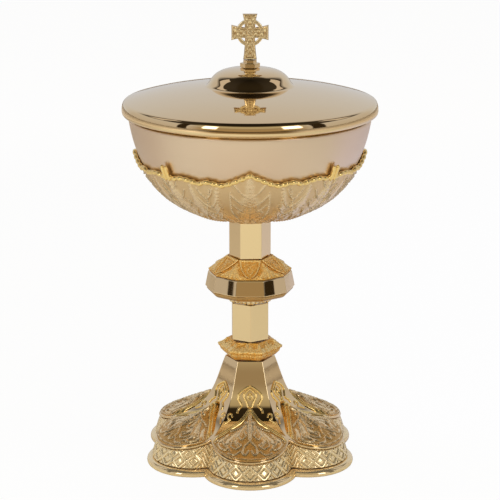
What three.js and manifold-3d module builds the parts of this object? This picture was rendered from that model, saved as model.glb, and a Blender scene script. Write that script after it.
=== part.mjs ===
// Ciborium: a covered cup on a six-sided stem with a knop and a foot of six round lobes.
// Millimetres, +Z up, the front towards -Y, the origin on the table under the axis.
// Azimuths are in degrees from the front, turning towards +X.

import * as THREE from 'three';
import { mergeVertices } from 'three/addons/utils/BufferGeometryUtils.js';
import Module from 'manifold-3d';

const wasm = await Module();
wasm.setup();

// Fits and walls
const GAP = 0.3;
const SHEET = 1.5;
const FOOT_SHEET = 1.8;
const TUBE_WALL = 1.9;

// Fineness of the round and lobed pieces
const ROUND_STEPS = 40;
const SMALL_ROUND_STEPS = 20;
const LOBE_STEPS = 12;

// Foot: six lobes, each an arc about its own centre
const LOBES = 6;
const LOBE_CENTRE = 39;
const FLANGE_LOBE = 28.3;
const FLANGE_HEIGHT = 4;
const FLANGE_WIDTH = 5.6;
const FLANGE_TOE = 0.8;
const FLANGE_SHOULDER = 0.6;
const GALLERY_SETBACK = 2.8;
const GALLERY_WALL = 2;
const PLATE_LOBE = 22.9;
const PLATE_LIP = 0.4;
const VALLEY_HEIGHT = 21.2;
const RIM_SLOPE = 18.9;
const LOBE_CROWN = 0.8;

// Foot: six-sided trunk, drawn by its ridge from the head down to the valley between two lobes
const TRUNK_HEIGHT = 60.3;
const TRUNK_HEAD_RADIUS = 15;
const RIDGE_HEAD_ANGLE = -68;
const RIDGE_HEAD_REACH = 17.3;
const RIDGE_FOOT_ANGLE = -17;
const RIDGE_FOOT_REACH = 24.8;
const TRUNK_PLATE = 3;

// Foot: arch where a trunk face meets a lobe, as a distance from the axis at steps of azimuth
const ARCH_AZIMUTH_STEP = 5;
const ARCH_RADII = [22.4, 24.5, 27.4, 30, 32.8, 38.2, 44];
const FRAME_WIDTH = 1.8;
const FRAME_HEIGHT = 1;
const FRAME_SETBACK = 1.4;
const FRAME_HALF_AZIMUTH = 27;
const PANEL_THICKNESS = 0.8;
const PANEL_MARGIN = 2.4;
const PANEL_SETBACK = 3;
const PANEL_HALF_AZIMUTH = 25;

// Collar, stems and neck, all six-sided: radii are to the corners
const STEM_RADIUS = 12.45;
const COLLAR_RADIUS = 20.2;
const COLLAR_HEIGHT = 11.3;
const COLLAR_EDGE_HEIGHT = 5.6;
const COLLAR_EDGE = 1;
const COLLAR_SEAT = 1.2;
const COLLAR_BORE = 8;
const COLLAR_TURN = -8;
const LOWER_STEM_LENGTH = 22.9;
const LOWER_STEM_TURN = 32;
const UPPER_STEM_LENGTH = 22;
const UPPER_STEM_TURN = 3;
const NECK_RADIUS = 15.2;
const NECK_HEIGHT = 3.2;

// Knop: ten-sided band, with a crown above and an underplate below
const BAND_SIDES = 10;
const BAND_HEAD_RADIUS = 25.1;
const BAND_FOOT_RADIUS = 26.8;
const BAND_HEIGHT = 9.6;
const BAND_WALL = 2.4;
const CROWN_HEIGHT = 8.9;
const CROWN_SHOULDER = 0.7;
const CROWN_LEDGE = 0.75;
const UNDERPLATE_HEIGHT = 5.1;
const UNDERPLATE_EDGE = 0.9;
const SHIELDS = 6;
const SHIELD_HALF_WIDTH = 6.4;
const SHIELD_TIP_HALF_WIDTH = 0.5;
const SHIELD_THICKNESS = 0.8;
const SHIELD_MARGIN = 0.4;

// Cup and calyx
const BOWL_DEPTH = 60.6;
const BOWL_LIP_RADIUS = 71.2;
const BOWL_FOOT_ANGLE = 2;
const BOWL_FOOT_REACH = 47.2;
const BOWL_LIP_ANGLE = 82;
const BOWL_LIP_REACH = 37.6;
const CALYX_PROUD = 2.2;
const CALYX_WALL = 1.6;
const CALYX_REPEATS = 4;
// Height of the calyx's leafy edge over its foot, at steps of azimuth from a leaf tip to a keel tip
const LEAF_AZIMUTH_STEP = 3.75;
const LEAF_HEIGHTS = [41.3, 37.2, 35.6, 33.2, 31.1, 32, 33.6, 31.7, 33.4, 34.4, 35.2, 33, 41.8];

// Lid
const LID_HEIGHT = 27.2;
const LID_OVERHANG = 0.5;
const LID_SEAT_WIDTH = 1.5;
const LID_RIM_BULGE = 3.1;
const LID_RIM_HEIGHT = 3.8;
const LID_RIM_REACH = 2.4;
const LID_UNDER_REACH = 2.2;
const LID_UNDER_ANGLE = -150;
const LID_EDGE_SETBACK = 1.4;
const LID_EDGE_RISE = 4.2;
const LID_EDGE_REACH = 1.3;
const DOME_EDGE_SLOPE = -24;
const DOME_EDGE_REACH = 18;
const DOME_SLOPE = 0;
const DOME_REACH = 33;
const BOSS_RADIUS = 25;
const BOSS_RISE = 9.8;
const BOSS_REACH = 23;
const BOSS_FOOT_ANGLE = -62;
const BOSS_FOOT_REACH = 6;
const BOSS_FILLET_WIDTH = 2;
const BOSS_FILLET_DROP = 0.9;
const BOSS_FILLET_REACH = 1.1;
const RING_DEPTH = 5.7;
const RING_WALL = 1.2;
const RING_FLANGE = 1.3;
const RING_PLAY = 0.5;

// Finial cross, seen from the front: arms about the middle of its ring
const CROSS_HEIGHT = 26.2;
const CROSS_THICKNESS = 4.2;
const HEAD_ARM = 10.7;
const SIDE_ARM = 10.7;
const HEAD_ARM_HALF = 4.4;
const SIDE_ARM_HALF = 3.6;
const ARM_WAIST = 2.3;
const ARM_FLARE = 0.7;
const SHAFT_WAIST = 3.2;
const SHAFT_WAIST_DROP = 8.2;
const SHAFT_FOOT_HALF = 4.3;
const CROSS_RING_RADIUS = 7.9;
const CROSS_RING_THICKNESS = 3.2;
const CROSS_HOLE_RADIUS = 1.4;
const CROSS_HOLE_OFFSET = 4.05;
const FINIAL_COLLAR_RADIUS = 5.8;
const FINIAL_COLLAR_HEIGHT = 4.4;
const FINIAL_COLLAR_STEP = 2.6;
const FINIAL_NECK_RADIUS = 3.9;

// Hidden fastenings
const STUD_RADIUS = 1.1;
const STUD_GRIP = 5;
const STUD_TAIL = 1.4;
const LID_WASHER_RADIUS = 5;
const LID_WASHER_THICKNESS = 1.2;
const LID_NUT_RADIUS = 3.2;
const LID_NUT_HEIGHT = 2.4;
const ROD_RADIUS = 3;
const ROD_TAIL = 3;
const ROD_GRIP = 8;
const ROD_WASHER_RADIUS = 8.6;
const ROD_WASHER_THICKNESS = 1.6;
const ROD_NUT_RADIUS = 6;
const ROD_NUT_HEIGHT = 5;
const CUP_BOSS_RADIUS = 6.2;
const CUP_BOSS_LENGTH = 14;

// Levels up the axis, each from the one below it
const collarFoot = TRUNK_HEIGHT + GAP;
const collarHead = collarFoot + COLLAR_HEIGHT;
const lowerStemFoot = collarHead + GAP;
const lowerStemHead = lowerStemFoot + LOWER_STEM_LENGTH;
const neckFoot = lowerStemHead + GAP;
const neckHead = neckFoot + NECK_HEIGHT;
const underplateFoot = neckHead + GAP;
const underplateHead = underplateFoot + UNDERPLATE_HEIGHT;
const bandFoot = underplateHead + GAP;
const bandHead = bandFoot + BAND_HEIGHT;
const crownFoot = bandHead + GAP;
const crownHead = crownFoot + CROWN_HEIGHT;
const upperStemFoot = crownHead + GAP;
const upperStemHead = upperStemFoot + UPPER_STEM_LENGTH;
const calyxFoot = upperStemHead + GAP;
const bowlFoot = calyxFoot + CALYX_PROUD;
const bowlLip = bowlFoot + BOWL_DEPTH;
const lidSeat = bowlLip + GAP;
const lidHead = lidSeat + LID_HEIGHT;
const finialCollarFoot = lidHead + GAP / 2;
const crossFoot = finialCollarFoot + FINIAL_COLLAR_HEIGHT + GAP;
const crossHeadCentre = crossFoot + CROSS_HEIGHT - HEAD_ARM;

// Small tools

const radians = THREE.MathUtils.degToRad;
const lerp = THREE.MathUtils.lerp;

function at(radius, azimuth, height) {
  const turn = radians(azimuth);
  return new THREE.Vector3(radius * Math.sin(turn), -radius * Math.cos(turn), height);
}

// Azimuth measured from the middle of the nearest of so many equal sectors
function fromSectorMiddle(azimuth, sectors) {
  const sector = 360 / sectors;
  return azimuth - sector * Math.round(azimuth / sector);
}

// Distance from the axis to the wall of a regular prism; corner gives the radius to its corners
function prismRadius(corner, sides, azimuth) {
  const half = 180 / sides;
  return (corner * Math.cos(radians(half))) / Math.cos(radians(fromSectorMiddle(azimuth, sides)));
}

// Distance from the axis to the outline of the six lobes
function lobedRadius(lobe, azimuth) {
  const turn = radians(fromSectorMiddle(azimuth, LOBES));
  const across = LOBE_CENTRE * Math.sin(turn);
  return LOBE_CENTRE * Math.cos(turn) + Math.sqrt(lobe * lobe - across * across);
}

function azimuthSteps(count, start = 0) {
  return Array.from({ length: count }, (_, i) => start + (i * 360) / count);
}

// Curve from one point to another that leaves and arrives at given angles
function bow(start, startAngle, startReach, end, endAngle, endReach) {
  const leave = radians(startAngle);
  const arrive = radians(endAngle);
  return new THREE.CubicBezierCurve(
    start,
    new THREE.Vector2(start.x + startReach * Math.cos(leave), start.y + startReach * Math.sin(leave)),
    new THREE.Vector2(end.x - endReach * Math.cos(arrive), end.y - endReach * Math.sin(arrive)),
    end,
  );
}

// Point of a curve moved square to it, to the right of its direction
function beside(curve, t, distance) {
  const point = curve.getPoint(t);
  const along = curve.getTangent(t);
  return new THREE.Vector2(point.x + along.y * distance, point.y - along.x * distance);
}

// Place between 0 and 1 where a test that starts false turns true
function placeWhere(test) {
  let low = 0;
  let high = 1;
  for (let i = 0; i < 40; i += 1) {
    const middle = (low + high) / 2;
    if (test(middle)) high = middle;
    else low = middle;
  }
  return high;
}

function fractions(steps) {
  return Array.from({ length: steps + 1 }, (_, i) => i / steps);
}

// One closed skin: shared vertices merged, triangles without area dropped
function closed(geometry) {
  const bare = new THREE.BufferGeometry();
  bare.setAttribute('position', geometry.getAttribute('position'));
  if (geometry.index) bare.setIndex(geometry.index);
  const merged = mergeVertices(bare, 1e-4);
  const corners = merged.index.array;
  const kept = [];
  for (let i = 0; i < corners.length; i += 3) {
    const [a, b, c] = [corners[i], corners[i + 1], corners[i + 2]];
    if (a !== b && b !== c && c !== a) kept.push(a, b, c);
  }
  merged.setIndex(kept);
  merged.computeVertexNormals();
  return merged;
}

// Rings of points joined in turn, up the outside and back down the inside
function loft(rings) {
  const count = rings[0].length;
  const positions = rings.flat().flatMap((point) => point.toArray());
  const index = [];
  rings.forEach((ring, i) => {
    const here = i * count;
    const there = ((i + 1) % rings.length) * count;
    for (let j = 0; j < count; j += 1) {
      const k = (j + 1) % count;
      index.push(here + j, here + k, there + k, here + j, there + k, there + j);
    }
  });
  const geometry = new THREE.BufferGeometry();
  geometry.setAttribute('position', new THREE.Float32BufferAttribute(positions, 3));
  geometry.setIndex(index);
  return closed(geometry);
}

// Turned piece from a profile of [radius, height], up the outside and back down the inside
function turned(profile, steps = ROUND_STEPS) {
  const points = profile.map(([radius, height]) => new THREE.Vector2(radius, height));
  const geometry = new THREE.LatheGeometry(points, steps);
  geometry.rotateX(Math.PI / 2);
  return closed(geometry);
}

// Tube or ring of given sides: profile of [corner radius, height] outside and inside
function prismRing(sides, turn, outside, inside) {
  const azimuths = azimuthSteps(sides, 180 / sides + turn);
  const ring = ([radius, height]) => azimuths.map((azimuth) => at(radius, azimuth, height));
  return loft([...outside.map(ring), ...inside.map(ring)]);
}

function solid(geometry) {
  const mesh = closed(geometry);
  return new wasm.Manifold(
    new wasm.Mesh({
      numProp: 3,
      vertProperties: new Float32Array(mesh.getAttribute('position').array),
      triVerts: new Uint32Array(mesh.index.array),
    }),
  );
}

function skin(body) {
  const mesh = body.getMesh();
  const geometry = new THREE.BufferGeometry();
  geometry.setAttribute('position', new THREE.BufferAttribute(mesh.vertProperties, 3));
  geometry.setIndex(new THREE.BufferAttribute(mesh.triVerts, 1));
  return closed(geometry);
}

// Thin plate lying on a surface: place(down, across, lift) gives the corners of its two faces
function plate(rows, columns, place, low, high) {
  const across = columns + 1;
  const layer = (rows + 1) * across;
  const positions = [];
  const index = [];
  for (const lift of [low, high]) {
    for (let i = 0; i <= rows; i += 1) {
      for (let j = 0; j <= columns; j += 1) positions.push(...place(i / rows, j / columns, lift).toArray());
    }
  }
  const quad = (a, b, c, d) => index.push(a, b, c, a, c, d);
  for (let i = 0; i < rows; i += 1) {
    for (let j = 0; j < columns; j += 1) {
      const a = i * across + j;
      quad(a, a + 1, a + across + 1, a + across);
      quad(layer + a, layer + a + across, layer + a + across + 1, layer + a + 1);
    }
  }
  for (let j = 0; j < columns; j += 1) {
    const end = rows * across;
    quad(j + 1, j, layer + j, layer + j + 1);
    quad(end + j, end + j + 1, layer + end + j + 1, layer + end + j);
  }
  for (let i = 0; i < rows; i += 1) {
    const a = i * across;
    const b = a + columns;
    quad(a, a + across, layer + a + across, layer + a);
    quad(b + across, b, layer + b, layer + b + across);
  }
  const geometry = new THREE.BufferGeometry();
  geometry.setAttribute('position', new THREE.Float32BufferAttribute(positions, 3));
  geometry.setIndex(index);
  return closed(geometry);
}

// Outward unit normal of a surface given as place(azimuth, down)
function normalAt(place, azimuth, down, azimuthStep, downStep) {
  const acrossway = place(azimuth + azimuthStep, down).sub(place(azimuth - azimuthStep, down));
  const downway = place(azimuth, down + downStep).sub(place(azimuth, down - downStep));
  return downway.cross(acrossway).normalize();
}

// Foot

const galleryFootLobe = FLANGE_LOBE - GALLERY_SETBACK;
const galleryHeadLobe = PLATE_LOBE - PLATE_LIP;
const valleyAzimuth = 180 / LOBES;
const valleyRadius = lobedRadius(PLATE_LOBE, valleyAzimuth);
const ridge = bow(
  new THREE.Vector2(TRUNK_HEAD_RADIUS, TRUNK_HEIGHT),
  RIDGE_HEAD_ANGLE,
  RIDGE_HEAD_REACH,
  new THREE.Vector2(valleyRadius, VALLEY_HEIGHT),
  RIDGE_FOOT_ANGLE,
  RIDGE_FOOT_REACH,
);

// Azimuths that step evenly along the arc of each lobe, valleys and lobe fronts among them
function lobeSteps() {
  const valley = at(lobedRadius(galleryFootLobe, valleyAzimuth), valleyAzimuth, 0);
  const halfArc = Math.atan2(valley.x, -valley.y - LOBE_CENTRE);
  const oneLobe = fractions(LOBE_STEPS).slice(0, -1).map((share) => {
    const arc = lerp(-halfArc, halfArc, share);
    const out = LOBE_CENTRE + galleryFootLobe * Math.cos(arc);
    return THREE.MathUtils.radToDeg(Math.atan2(galleryFootLobe * Math.sin(arc), out));
  });
  return azimuthSteps(LOBES).flatMap((middle) => oneLobe.map((azimuth) => middle + azimuth));
}

const lobeAzimuths = lobeSteps();
const lobeRing = (place) => lobeAzimuths.map(place);

function lobedRing(lobe, height) {
  return lobeRing((azimuth) => at(lobedRadius(lobe, azimuth), azimuth, height));
}

// Height of the lobes' outer edge, which falls away from the valleys to the lobe fronts
function rimHeight(azimuth) {
  const beyondValley = lobedRadius(PLATE_LOBE, azimuth) - valleyRadius;
  return VALLEY_HEIGHT - beyondValley * Math.tan(radians(RIM_SLOPE));
}

function archRadius(azimuth) {
  const place = Math.abs(fromSectorMiddle(azimuth, LOBES)) / ARCH_AZIMUTH_STEP;
  const step = Math.min(Math.floor(place), ARCH_RADII.length - 2);
  return lerp(ARCH_RADII[step], ARCH_RADII[step + 1], place - step);
}

// Wall of the trunk at a place along its ridge
function trunkPoint(azimuth, place) {
  const corner = ridge.getPoint(place);
  return at(prismRadius(corner.x, LOBES, azimuth), azimuth, corner.y);
}

// Place along the ridge whose six-sided section passes through the arch at this azimuth
function archPlace(azimuth) {
  const radius = archRadius(azimuth);
  return placeWhere((place) => prismRadius(ridge.getPoint(place).x, LOBES, azimuth) >= radius);
}

// Foot from the trunk's head, down = 0, by way of the arch, down = 1, to the lobe's edge, down = 2
function footPoint(azimuth, down) {
  const arch = archPlace(azimuth);
  if (down <= 1) return trunkPoint(azimuth, down * arch);
  const out = down - 1;
  const rim = lobedRadius(PLATE_LOBE, azimuth);
  const width = rim - archRadius(azimuth);
  const fullWidth = LOBE_CENTRE + PLATE_LOBE - ARCH_RADII[0];
  const crown = LOBE_CROWN * (width / fullWidth) * Math.sin(Math.PI * out);
  const height = lerp(trunkPoint(azimuth, arch).z, rimHeight(azimuth), out);
  return at(rim - width * (1 - out), azimuth, height + crown);
}

function moved(point, azimuth, inward, downward) {
  return point.clone().sub(at(inward, azimuth, downward));
}

function footShell() {
  const bore = ROD_RADIUS + GAP;
  const underPlate = TRUNK_HEIGHT - TRUNK_PLATE;
  const plateEdge = placeWhere((place) => ridge.getPoint(place).y <= underPlate + FOOT_SHEET);
  const outside = fractions(8).reverse().map((share) => lobeRing((azimuth) => footPoint(azimuth, 2 * share)));
  const trunkInside = fractions(3).map((share) => lobeRing((azimuth) => {
    const down = lerp(plateEdge / archPlace(azimuth), 1, share);
    return moved(footPoint(azimuth, down), azimuth, FOOT_SHEET, FOOT_SHEET);
  }));
  const lobeInside = [1.5, 2].map((down) => lobeRing((azimuth) =>
    moved(footPoint(azimuth, down), azimuth, FOOT_SHEET, FOOT_SHEET)));
  return loft([
    lobeRing((azimuth) => moved(footPoint(azimuth, 2), azimuth, 0, FOOT_SHEET)),
    ...outside,
    lobeRing((azimuth) => at(bore, azimuth, TRUNK_HEIGHT)),
    lobeRing((azimuth) => at(bore, azimuth, underPlate)),
    ...trunkInside,
    ...lobeInside,
  ]);
}

function baseFlange() {
  const innerLobe = FLANGE_LOBE - FLANGE_WIDTH;
  const shoulderLobe = galleryFootLobe + GAP;
  return loft([
    lobedRing(FLANGE_LOBE - FLANGE_TOE, 0),
    lobedRing(FLANGE_LOBE, FLANGE_TOE),
    lobedRing(FLANGE_LOBE, FLANGE_HEIGHT / 2),
    lobedRing((FLANGE_LOBE + shoulderLobe) / 2, FLANGE_HEIGHT - FLANGE_SHOULDER),
    lobedRing(shoulderLobe, FLANGE_HEIGHT),
    lobedRing(innerLobe, FLANGE_HEIGHT),
    lobedRing(innerLobe, 0),
  ]);
}

function latticeGallery() {
  const foot = FLANGE_HEIGHT + GAP;
  const headRing = (lobe) => lobeRing((azimuth) =>
    at(lobedRadius(lobe, azimuth), azimuth, rimHeight(azimuth) - FOOT_SHEET - GAP));
  return loft([
    lobedRing(galleryFootLobe, foot),
    headRing(galleryHeadLobe),
    headRing(galleryHeadLobe - GALLERY_WALL),
    lobedRing(galleryFootLobe - GALLERY_WALL, foot),
  ]);
}

// Point on a lobe at a distance from the axis, lifted square to the surface
function onLobe(azimuth, radius, lift) {
  const arch = archRadius(azimuth);
  const down = 1 + (radius - arch) / (lobedRadius(PLATE_LOBE, azimuth) - arch);
  return footPoint(azimuth, down).addScaledVector(normalAt(footPoint, azimuth, down, 0.3, 0.01), lift);
}

// Distance from the axis to a line that keeps a distance outside the arch, square to the arch
function besideArch(azimuth, distance) {
  const inner = Math.min(Math.abs(fromSectorMiddle(azimuth, LOBES)), valleyAzimuth - 1);
  const rise = archRadius(inner + 1) - archRadius(inner);
  const run = archRadius(inner) * radians(1);
  return archRadius(azimuth) + distance * Math.hypot(1, rise / run);
}

function archFrame(middle) {
  const inner = FRAME_SETBACK - FRAME_WIDTH / 2;
  const place = (down, across, lift) => {
    const azimuth = middle + lerp(-FRAME_HALF_AZIMUTH, FRAME_HALF_AZIMUTH, across);
    return onLobe(azimuth, besideArch(azimuth, inner + down * FRAME_WIDTH), lift);
  };
  return plate(1, 18, place, GAP, GAP + FRAME_HEIGHT);
}

function lobePanel(middle) {
  const place = (down, across, lift) => {
    const azimuth = middle + lerp(-PANEL_HALF_AZIMUTH, PANEL_HALF_AZIMUTH, across);
    const inner = besideArch(azimuth, PANEL_SETBACK);
    const outer = lobedRadius(PLATE_LOBE - PANEL_MARGIN, azimuth);
    return onLobe(azimuth, lerp(inner, outer, down), lift);
  };
  return plate(3, 12, place, GAP, GAP + PANEL_THICKNESS);
}

// Collar, stems and neck

const stemHollow = STEM_RADIUS - TUBE_WALL;

function footCollar() {
  const edge = collarFoot + COLLAR_EDGE_HEIGHT;
  const outside = [
    [TRUNK_HEAD_RADIUS - GAP, collarFoot],
    [COLLAR_RADIUS - COLLAR_EDGE, edge - COLLAR_EDGE / 2],
    [COLLAR_RADIUS, edge],
    [COLLAR_RADIUS - COLLAR_EDGE / 2, edge + COLLAR_EDGE],
    [STEM_RADIUS + COLLAR_SEAT, collarHead],
  ];
  return prismRing(6, COLLAR_TURN, outside, [[COLLAR_BORE, collarHead], [COLLAR_BORE, collarFoot]]);
}

function stem(turn, foot, head) {
  const outside = [[STEM_RADIUS, foot], [STEM_RADIUS, head]];
  return prismRing(6, turn, outside, [[stemHollow, head], [stemHollow, foot]]);
}

function knopNeckRing() {
  const outside = [[STEM_RADIUS + GAP, neckFoot], [NECK_RADIUS, neckHead]];
  return prismRing(6, LOWER_STEM_TURN, outside, [[stemHollow, neckHead], [stemHollow, neckFoot]]);
}

// Knop

function knopUnderplate() {
  const edge = BAND_FOOT_RADIUS - UNDERPLATE_EDGE;
  const outside = [
    [NECK_RADIUS, underplateFoot],
    [edge, underplateHead - UNDERPLATE_EDGE],
    [edge, underplateHead],
  ];
  const inside = [
    [edge - BAND_WALL, underplateHead],
    [stemHollow, underplateFoot + BAND_WALL],
    [stemHollow, underplateFoot],
  ];
  return prismRing(BAND_SIDES, 0, outside, inside);
}

function knopBand() {
  const outside = [[BAND_FOOT_RADIUS, bandFoot], [BAND_HEAD_RADIUS, bandHead]];
  const inside = outside.map(([radius, height]) => [radius - BAND_WALL, height]).reverse();
  return prismRing(BAND_SIDES, 0, outside, inside);
}

// Crown from the six-sided stem, down = 0, to the ten-sided band, down = 1
function crownPoint(azimuth, down) {
  const head = prismRadius(STEM_RADIUS + CROWN_LEDGE, 6, azimuth);
  const foot = prismRadius(BAND_HEAD_RADIUS - GAP, BAND_SIDES, azimuth);
  return at(lerp(head, foot, down), azimuth, lerp(crownHead, crownFoot + CROWN_SHOULDER, down));
}

function knopCrown() {
  const corners = azimuthSteps(30, 6);
  const ring = (place) => corners.map(place);
  const bore = prismRadius(stemHollow, 6, 0);
  const inner = BAND_HEAD_RADIUS - GAP - BAND_WALL;
  return loft([
    ring((azimuth) => moved(crownPoint(azimuth, 1), azimuth, 0, CROWN_SHOULDER)),
    ...[1, 0.5, 0].map((down) => ring((azimuth) => crownPoint(azimuth, down))),
    ring((azimuth) => at(bore, azimuth, crownHead)),
    ring((azimuth) => at(bore, azimuth, crownHead - BAND_WALL)),
    ring((azimuth) => at(prismRadius(inner, BAND_SIDES, azimuth), azimuth, crownFoot)),
  ]);
}

// Shield with its wide end at the stem and its point at the band
function knopShield(middle) {
  const slope = Math.hypot(BAND_HEAD_RADIUS - STEM_RADIUS, CROWN_HEIGHT);
  const margin = SHIELD_MARGIN / slope;
  const place = (along, across, lift) => {
    const down = lerp(margin, 1 - margin, along);
    const half = Math.max(SHIELD_HALF_WIDTH * Math.sqrt(1 - along ** 1.6), SHIELD_TIP_HALF_WIDTH);
    const centre = crownPoint(middle, down);
    const aside = Math.atan(lerp(-half, half, across) / Math.hypot(centre.x, centre.y));
    const azimuth = middle + THREE.MathUtils.radToDeg(aside);
    const normal = normalAt(crownPoint, middle, down, 0.5, 0.02);
    return crownPoint(azimuth, down).addScaledVector(normal, lift);
  };
  return plate(6, 4, place, GAP, GAP + SHIELD_THICKNESS);
}

// Cup and calyx

const bowlCurve = bow(
  new THREE.Vector2(0, bowlFoot),
  BOWL_FOOT_ANGLE,
  BOWL_FOOT_REACH,
  new THREE.Vector2(BOWL_LIP_RADIUS, bowlLip),
  BOWL_LIP_ANGLE,
  BOWL_LIP_REACH,
);
const bowlInnerLip = BOWL_LIP_RADIUS - SHEET;

function cupBowl() {
  const outside = fractions(12).map((place) => bowlCurve.getPoint(place).toArray());
  const inside = fractions(10).slice(1, -1).map((place) => beside(bowlCurve, place, -SHEET).toArray());
  return turned([...outside, [bowlInnerLip, bowlLip], ...inside.reverse(), [0, bowlFoot + SHEET]]);
}

function leafHeight(azimuth) {
  const place = Math.abs(fromSectorMiddle(azimuth, CALYX_REPEATS)) / LEAF_AZIMUTH_STEP;
  const step = Math.min(Math.floor(place), LEAF_HEIGHTS.length - 2);
  return lerp(LEAF_HEIGHTS[step], LEAF_HEIGHTS[step + 1], place - step);
}

function calyx() {
  const azimuths = azimuthSteps(360 / LEAF_AZIMUTH_STEP);
  const hole = CUP_BOSS_RADIUS + GAP;
  const seat = STEM_RADIUS + GAP;
  const clear = CALYX_PROUD - CALYX_WALL;
  const inner = placeWhere((place) => beside(bowlCurve, place, clear).x >= hole);
  const outer = placeWhere((place) => beside(bowlCurve, place, CALYX_PROUD).x >= seat + SHEET);
  const ring = (start, share, distance) => azimuths.map((azimuth) => {
    const height = calyxFoot + leafHeight(azimuth);
    const edge = placeWhere((place) => beside(bowlCurve, place, CALYX_PROUD).y >= height);
    const point = beside(bowlCurve, lerp(start, edge, share), distance);
    return at(point.x, azimuth, point.y);
  });
  return loft([
    azimuths.map((azimuth) => at(hole, azimuth, calyxFoot)),
    azimuths.map((azimuth) => at(seat, azimuth, calyxFoot)),
    ...fractions(5).map((share) => ring(outer, share, CALYX_PROUD)),
    ...fractions(7).reverse().map((share) => ring(inner, share, clear)),
  ]);
}

// Pillar under the bowl that takes the head of the tie rod
function cupBoss() {
  const head = bowlFoot - GAP;
  const foot = head - CUP_BOSS_LENGTH;
  const bore = ROD_RADIUS + GAP;
  const boreHead = foot + ROD_GRIP;
  const outside = [[bore, foot], [CUP_BOSS_RADIUS, foot], [CUP_BOSS_RADIUS, head], [0, head]];
  return turned([...outside, [0, boreHead], [bore, boreHead], [bore, foot]], SMALL_ROUND_STEPS);
}

// Fastenings

function washer(hole, radius, foot, head) {
  const section = [[hole, foot], [radius, foot], [radius, head], [hole, head], [hole, foot]];
  return turned(section, SMALL_ROUND_STEPS);
}

function nut(hole, radius, foot, head) {
  const bore = hole / Math.cos(Math.PI / 6);
  return prismRing(6, 0, [[radius, foot], [radius, head]], [[bore, head], [bore, foot]]);
}

function rod(radius, foot, head) {
  return turned([[0, foot], [radius, foot], [radius, head], [0, head]], SMALL_ROUND_STEPS);
}

const rodHole = ROD_RADIUS + GAP;
const rodHead = bowlFoot - GAP - CUP_BOSS_LENGTH + ROD_GRIP - GAP;
const rodWasherHead = TRUNK_HEIGHT - TRUNK_PLATE - GAP;
const rodWasherFoot = rodWasherHead - ROD_WASHER_THICKNESS;
const rodNutHead = rodWasherFoot - GAP;
const rodNutFoot = rodNutHead - ROD_NUT_HEIGHT;

const studHole = STUD_RADIUS + GAP;
const lidWasherHead = lidHead - SHEET - 1.5 * GAP;
const lidWasherFoot = lidWasherHead - LID_WASHER_THICKNESS;
const lidNutHead = lidWasherFoot - GAP;
const lidNutFoot = lidNutHead - LID_NUT_HEIGHT;

// Lid

const lidSeatRadius = BOWL_LIP_RADIUS + LID_OVERHANG;
const lidSeatInner = lidSeatRadius - LID_SEAT_WIDTH;

// Outline from the head to the seat, each stretch with its steps outside and inside
function lidStretches() {
  const head = new THREE.Vector2(0, lidHead);
  const bossFoot = new THREE.Vector2(BOSS_RADIUS, lidHead - BOSS_RISE);
  const domeHead = new THREE.Vector2(BOSS_RADIUS + BOSS_FILLET_WIDTH, bossFoot.y - BOSS_FILLET_DROP);
  const rim = new THREE.Vector2(lidSeatRadius + LID_RIM_BULGE, lidSeat + LID_RIM_HEIGHT);
  const seat = new THREE.Vector2(lidSeatRadius, lidSeat);
  const boss = bow(head, 0, BOSS_REACH, bossFoot, BOSS_FOOT_ANGLE, BOSS_FOOT_REACH);
  const fillet = bow(bossFoot, BOSS_FOOT_ANGLE, BOSS_FILLET_REACH, domeHead, DOME_SLOPE, BOSS_FILLET_REACH);
  const edge = new THREE.Vector2(rim.x - LID_EDGE_SETBACK, rim.y + LID_EDGE_RISE);
  const dome = bow(domeHead, DOME_SLOPE, DOME_REACH, edge, DOME_EDGE_SLOPE, DOME_EDGE_REACH);
  const roll = bow(edge, DOME_EDGE_SLOPE, LID_EDGE_REACH, rim, -90, LID_RIM_REACH);
  const turnUnder = bow(rim, -90, LID_UNDER_REACH, seat, LID_UNDER_ANGLE, LID_UNDER_REACH);
  return [[boss, 8, 6], [fillet, 2, 1], [dome, 9, 7], [roll, 5, 3], [turnUnder, 4, 3]];
}

function lidShell() {
  const stretches = lidStretches();
  const boss = stretches[0][0];
  const start = placeWhere((place) => boss.getPoint(place).x >= studHole);
  const line = (distance, stepsOf) => stretches.flatMap(([curve, ...steps]) => {
    const places = fractions(steps[stepsOf]).map((share) => (curve === boss ? lerp(start, 1, share) : share));
    const fresh = curve === boss ? places : places.slice(1);
    return fresh.map((place) => beside(curve, place, distance).toArray());
  });
  const outside = line(0, 0).reverse();
  const inside = line(SHEET, 1).slice(1);
  return turned([...outside, [studHole, lidHead - SHEET], ...inside, [lidSeatInner, lidSeat], outside[0]]);
}

// Ring inside the lid that keeps it centred in the cup's lip
function lidLocatingRing() {
  const foot = lidSeat - RING_DEPTH;
  const reach = (place) => beside(bowlCurve, place, -SHEET - RING_PLAY);
  const outerFoot = reach(placeWhere((place) => reach(place).y >= foot)).x;
  const outer = bowlInnerLip - RING_PLAY;
  const flange = lidSeatInner - GAP;
  const flangeFoot = lidSeat + GAP;
  const head = flangeFoot + RING_FLANGE;
  const innerFoot = [outerFoot - RING_WALL, foot];
  const outside = [innerFoot, [outerFoot, foot], [outer, flangeFoot], [flange, flangeFoot], [flange, head]];
  return turned([...outside, [outer - RING_WALL, head], innerFoot]);
}

// Finial

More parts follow.
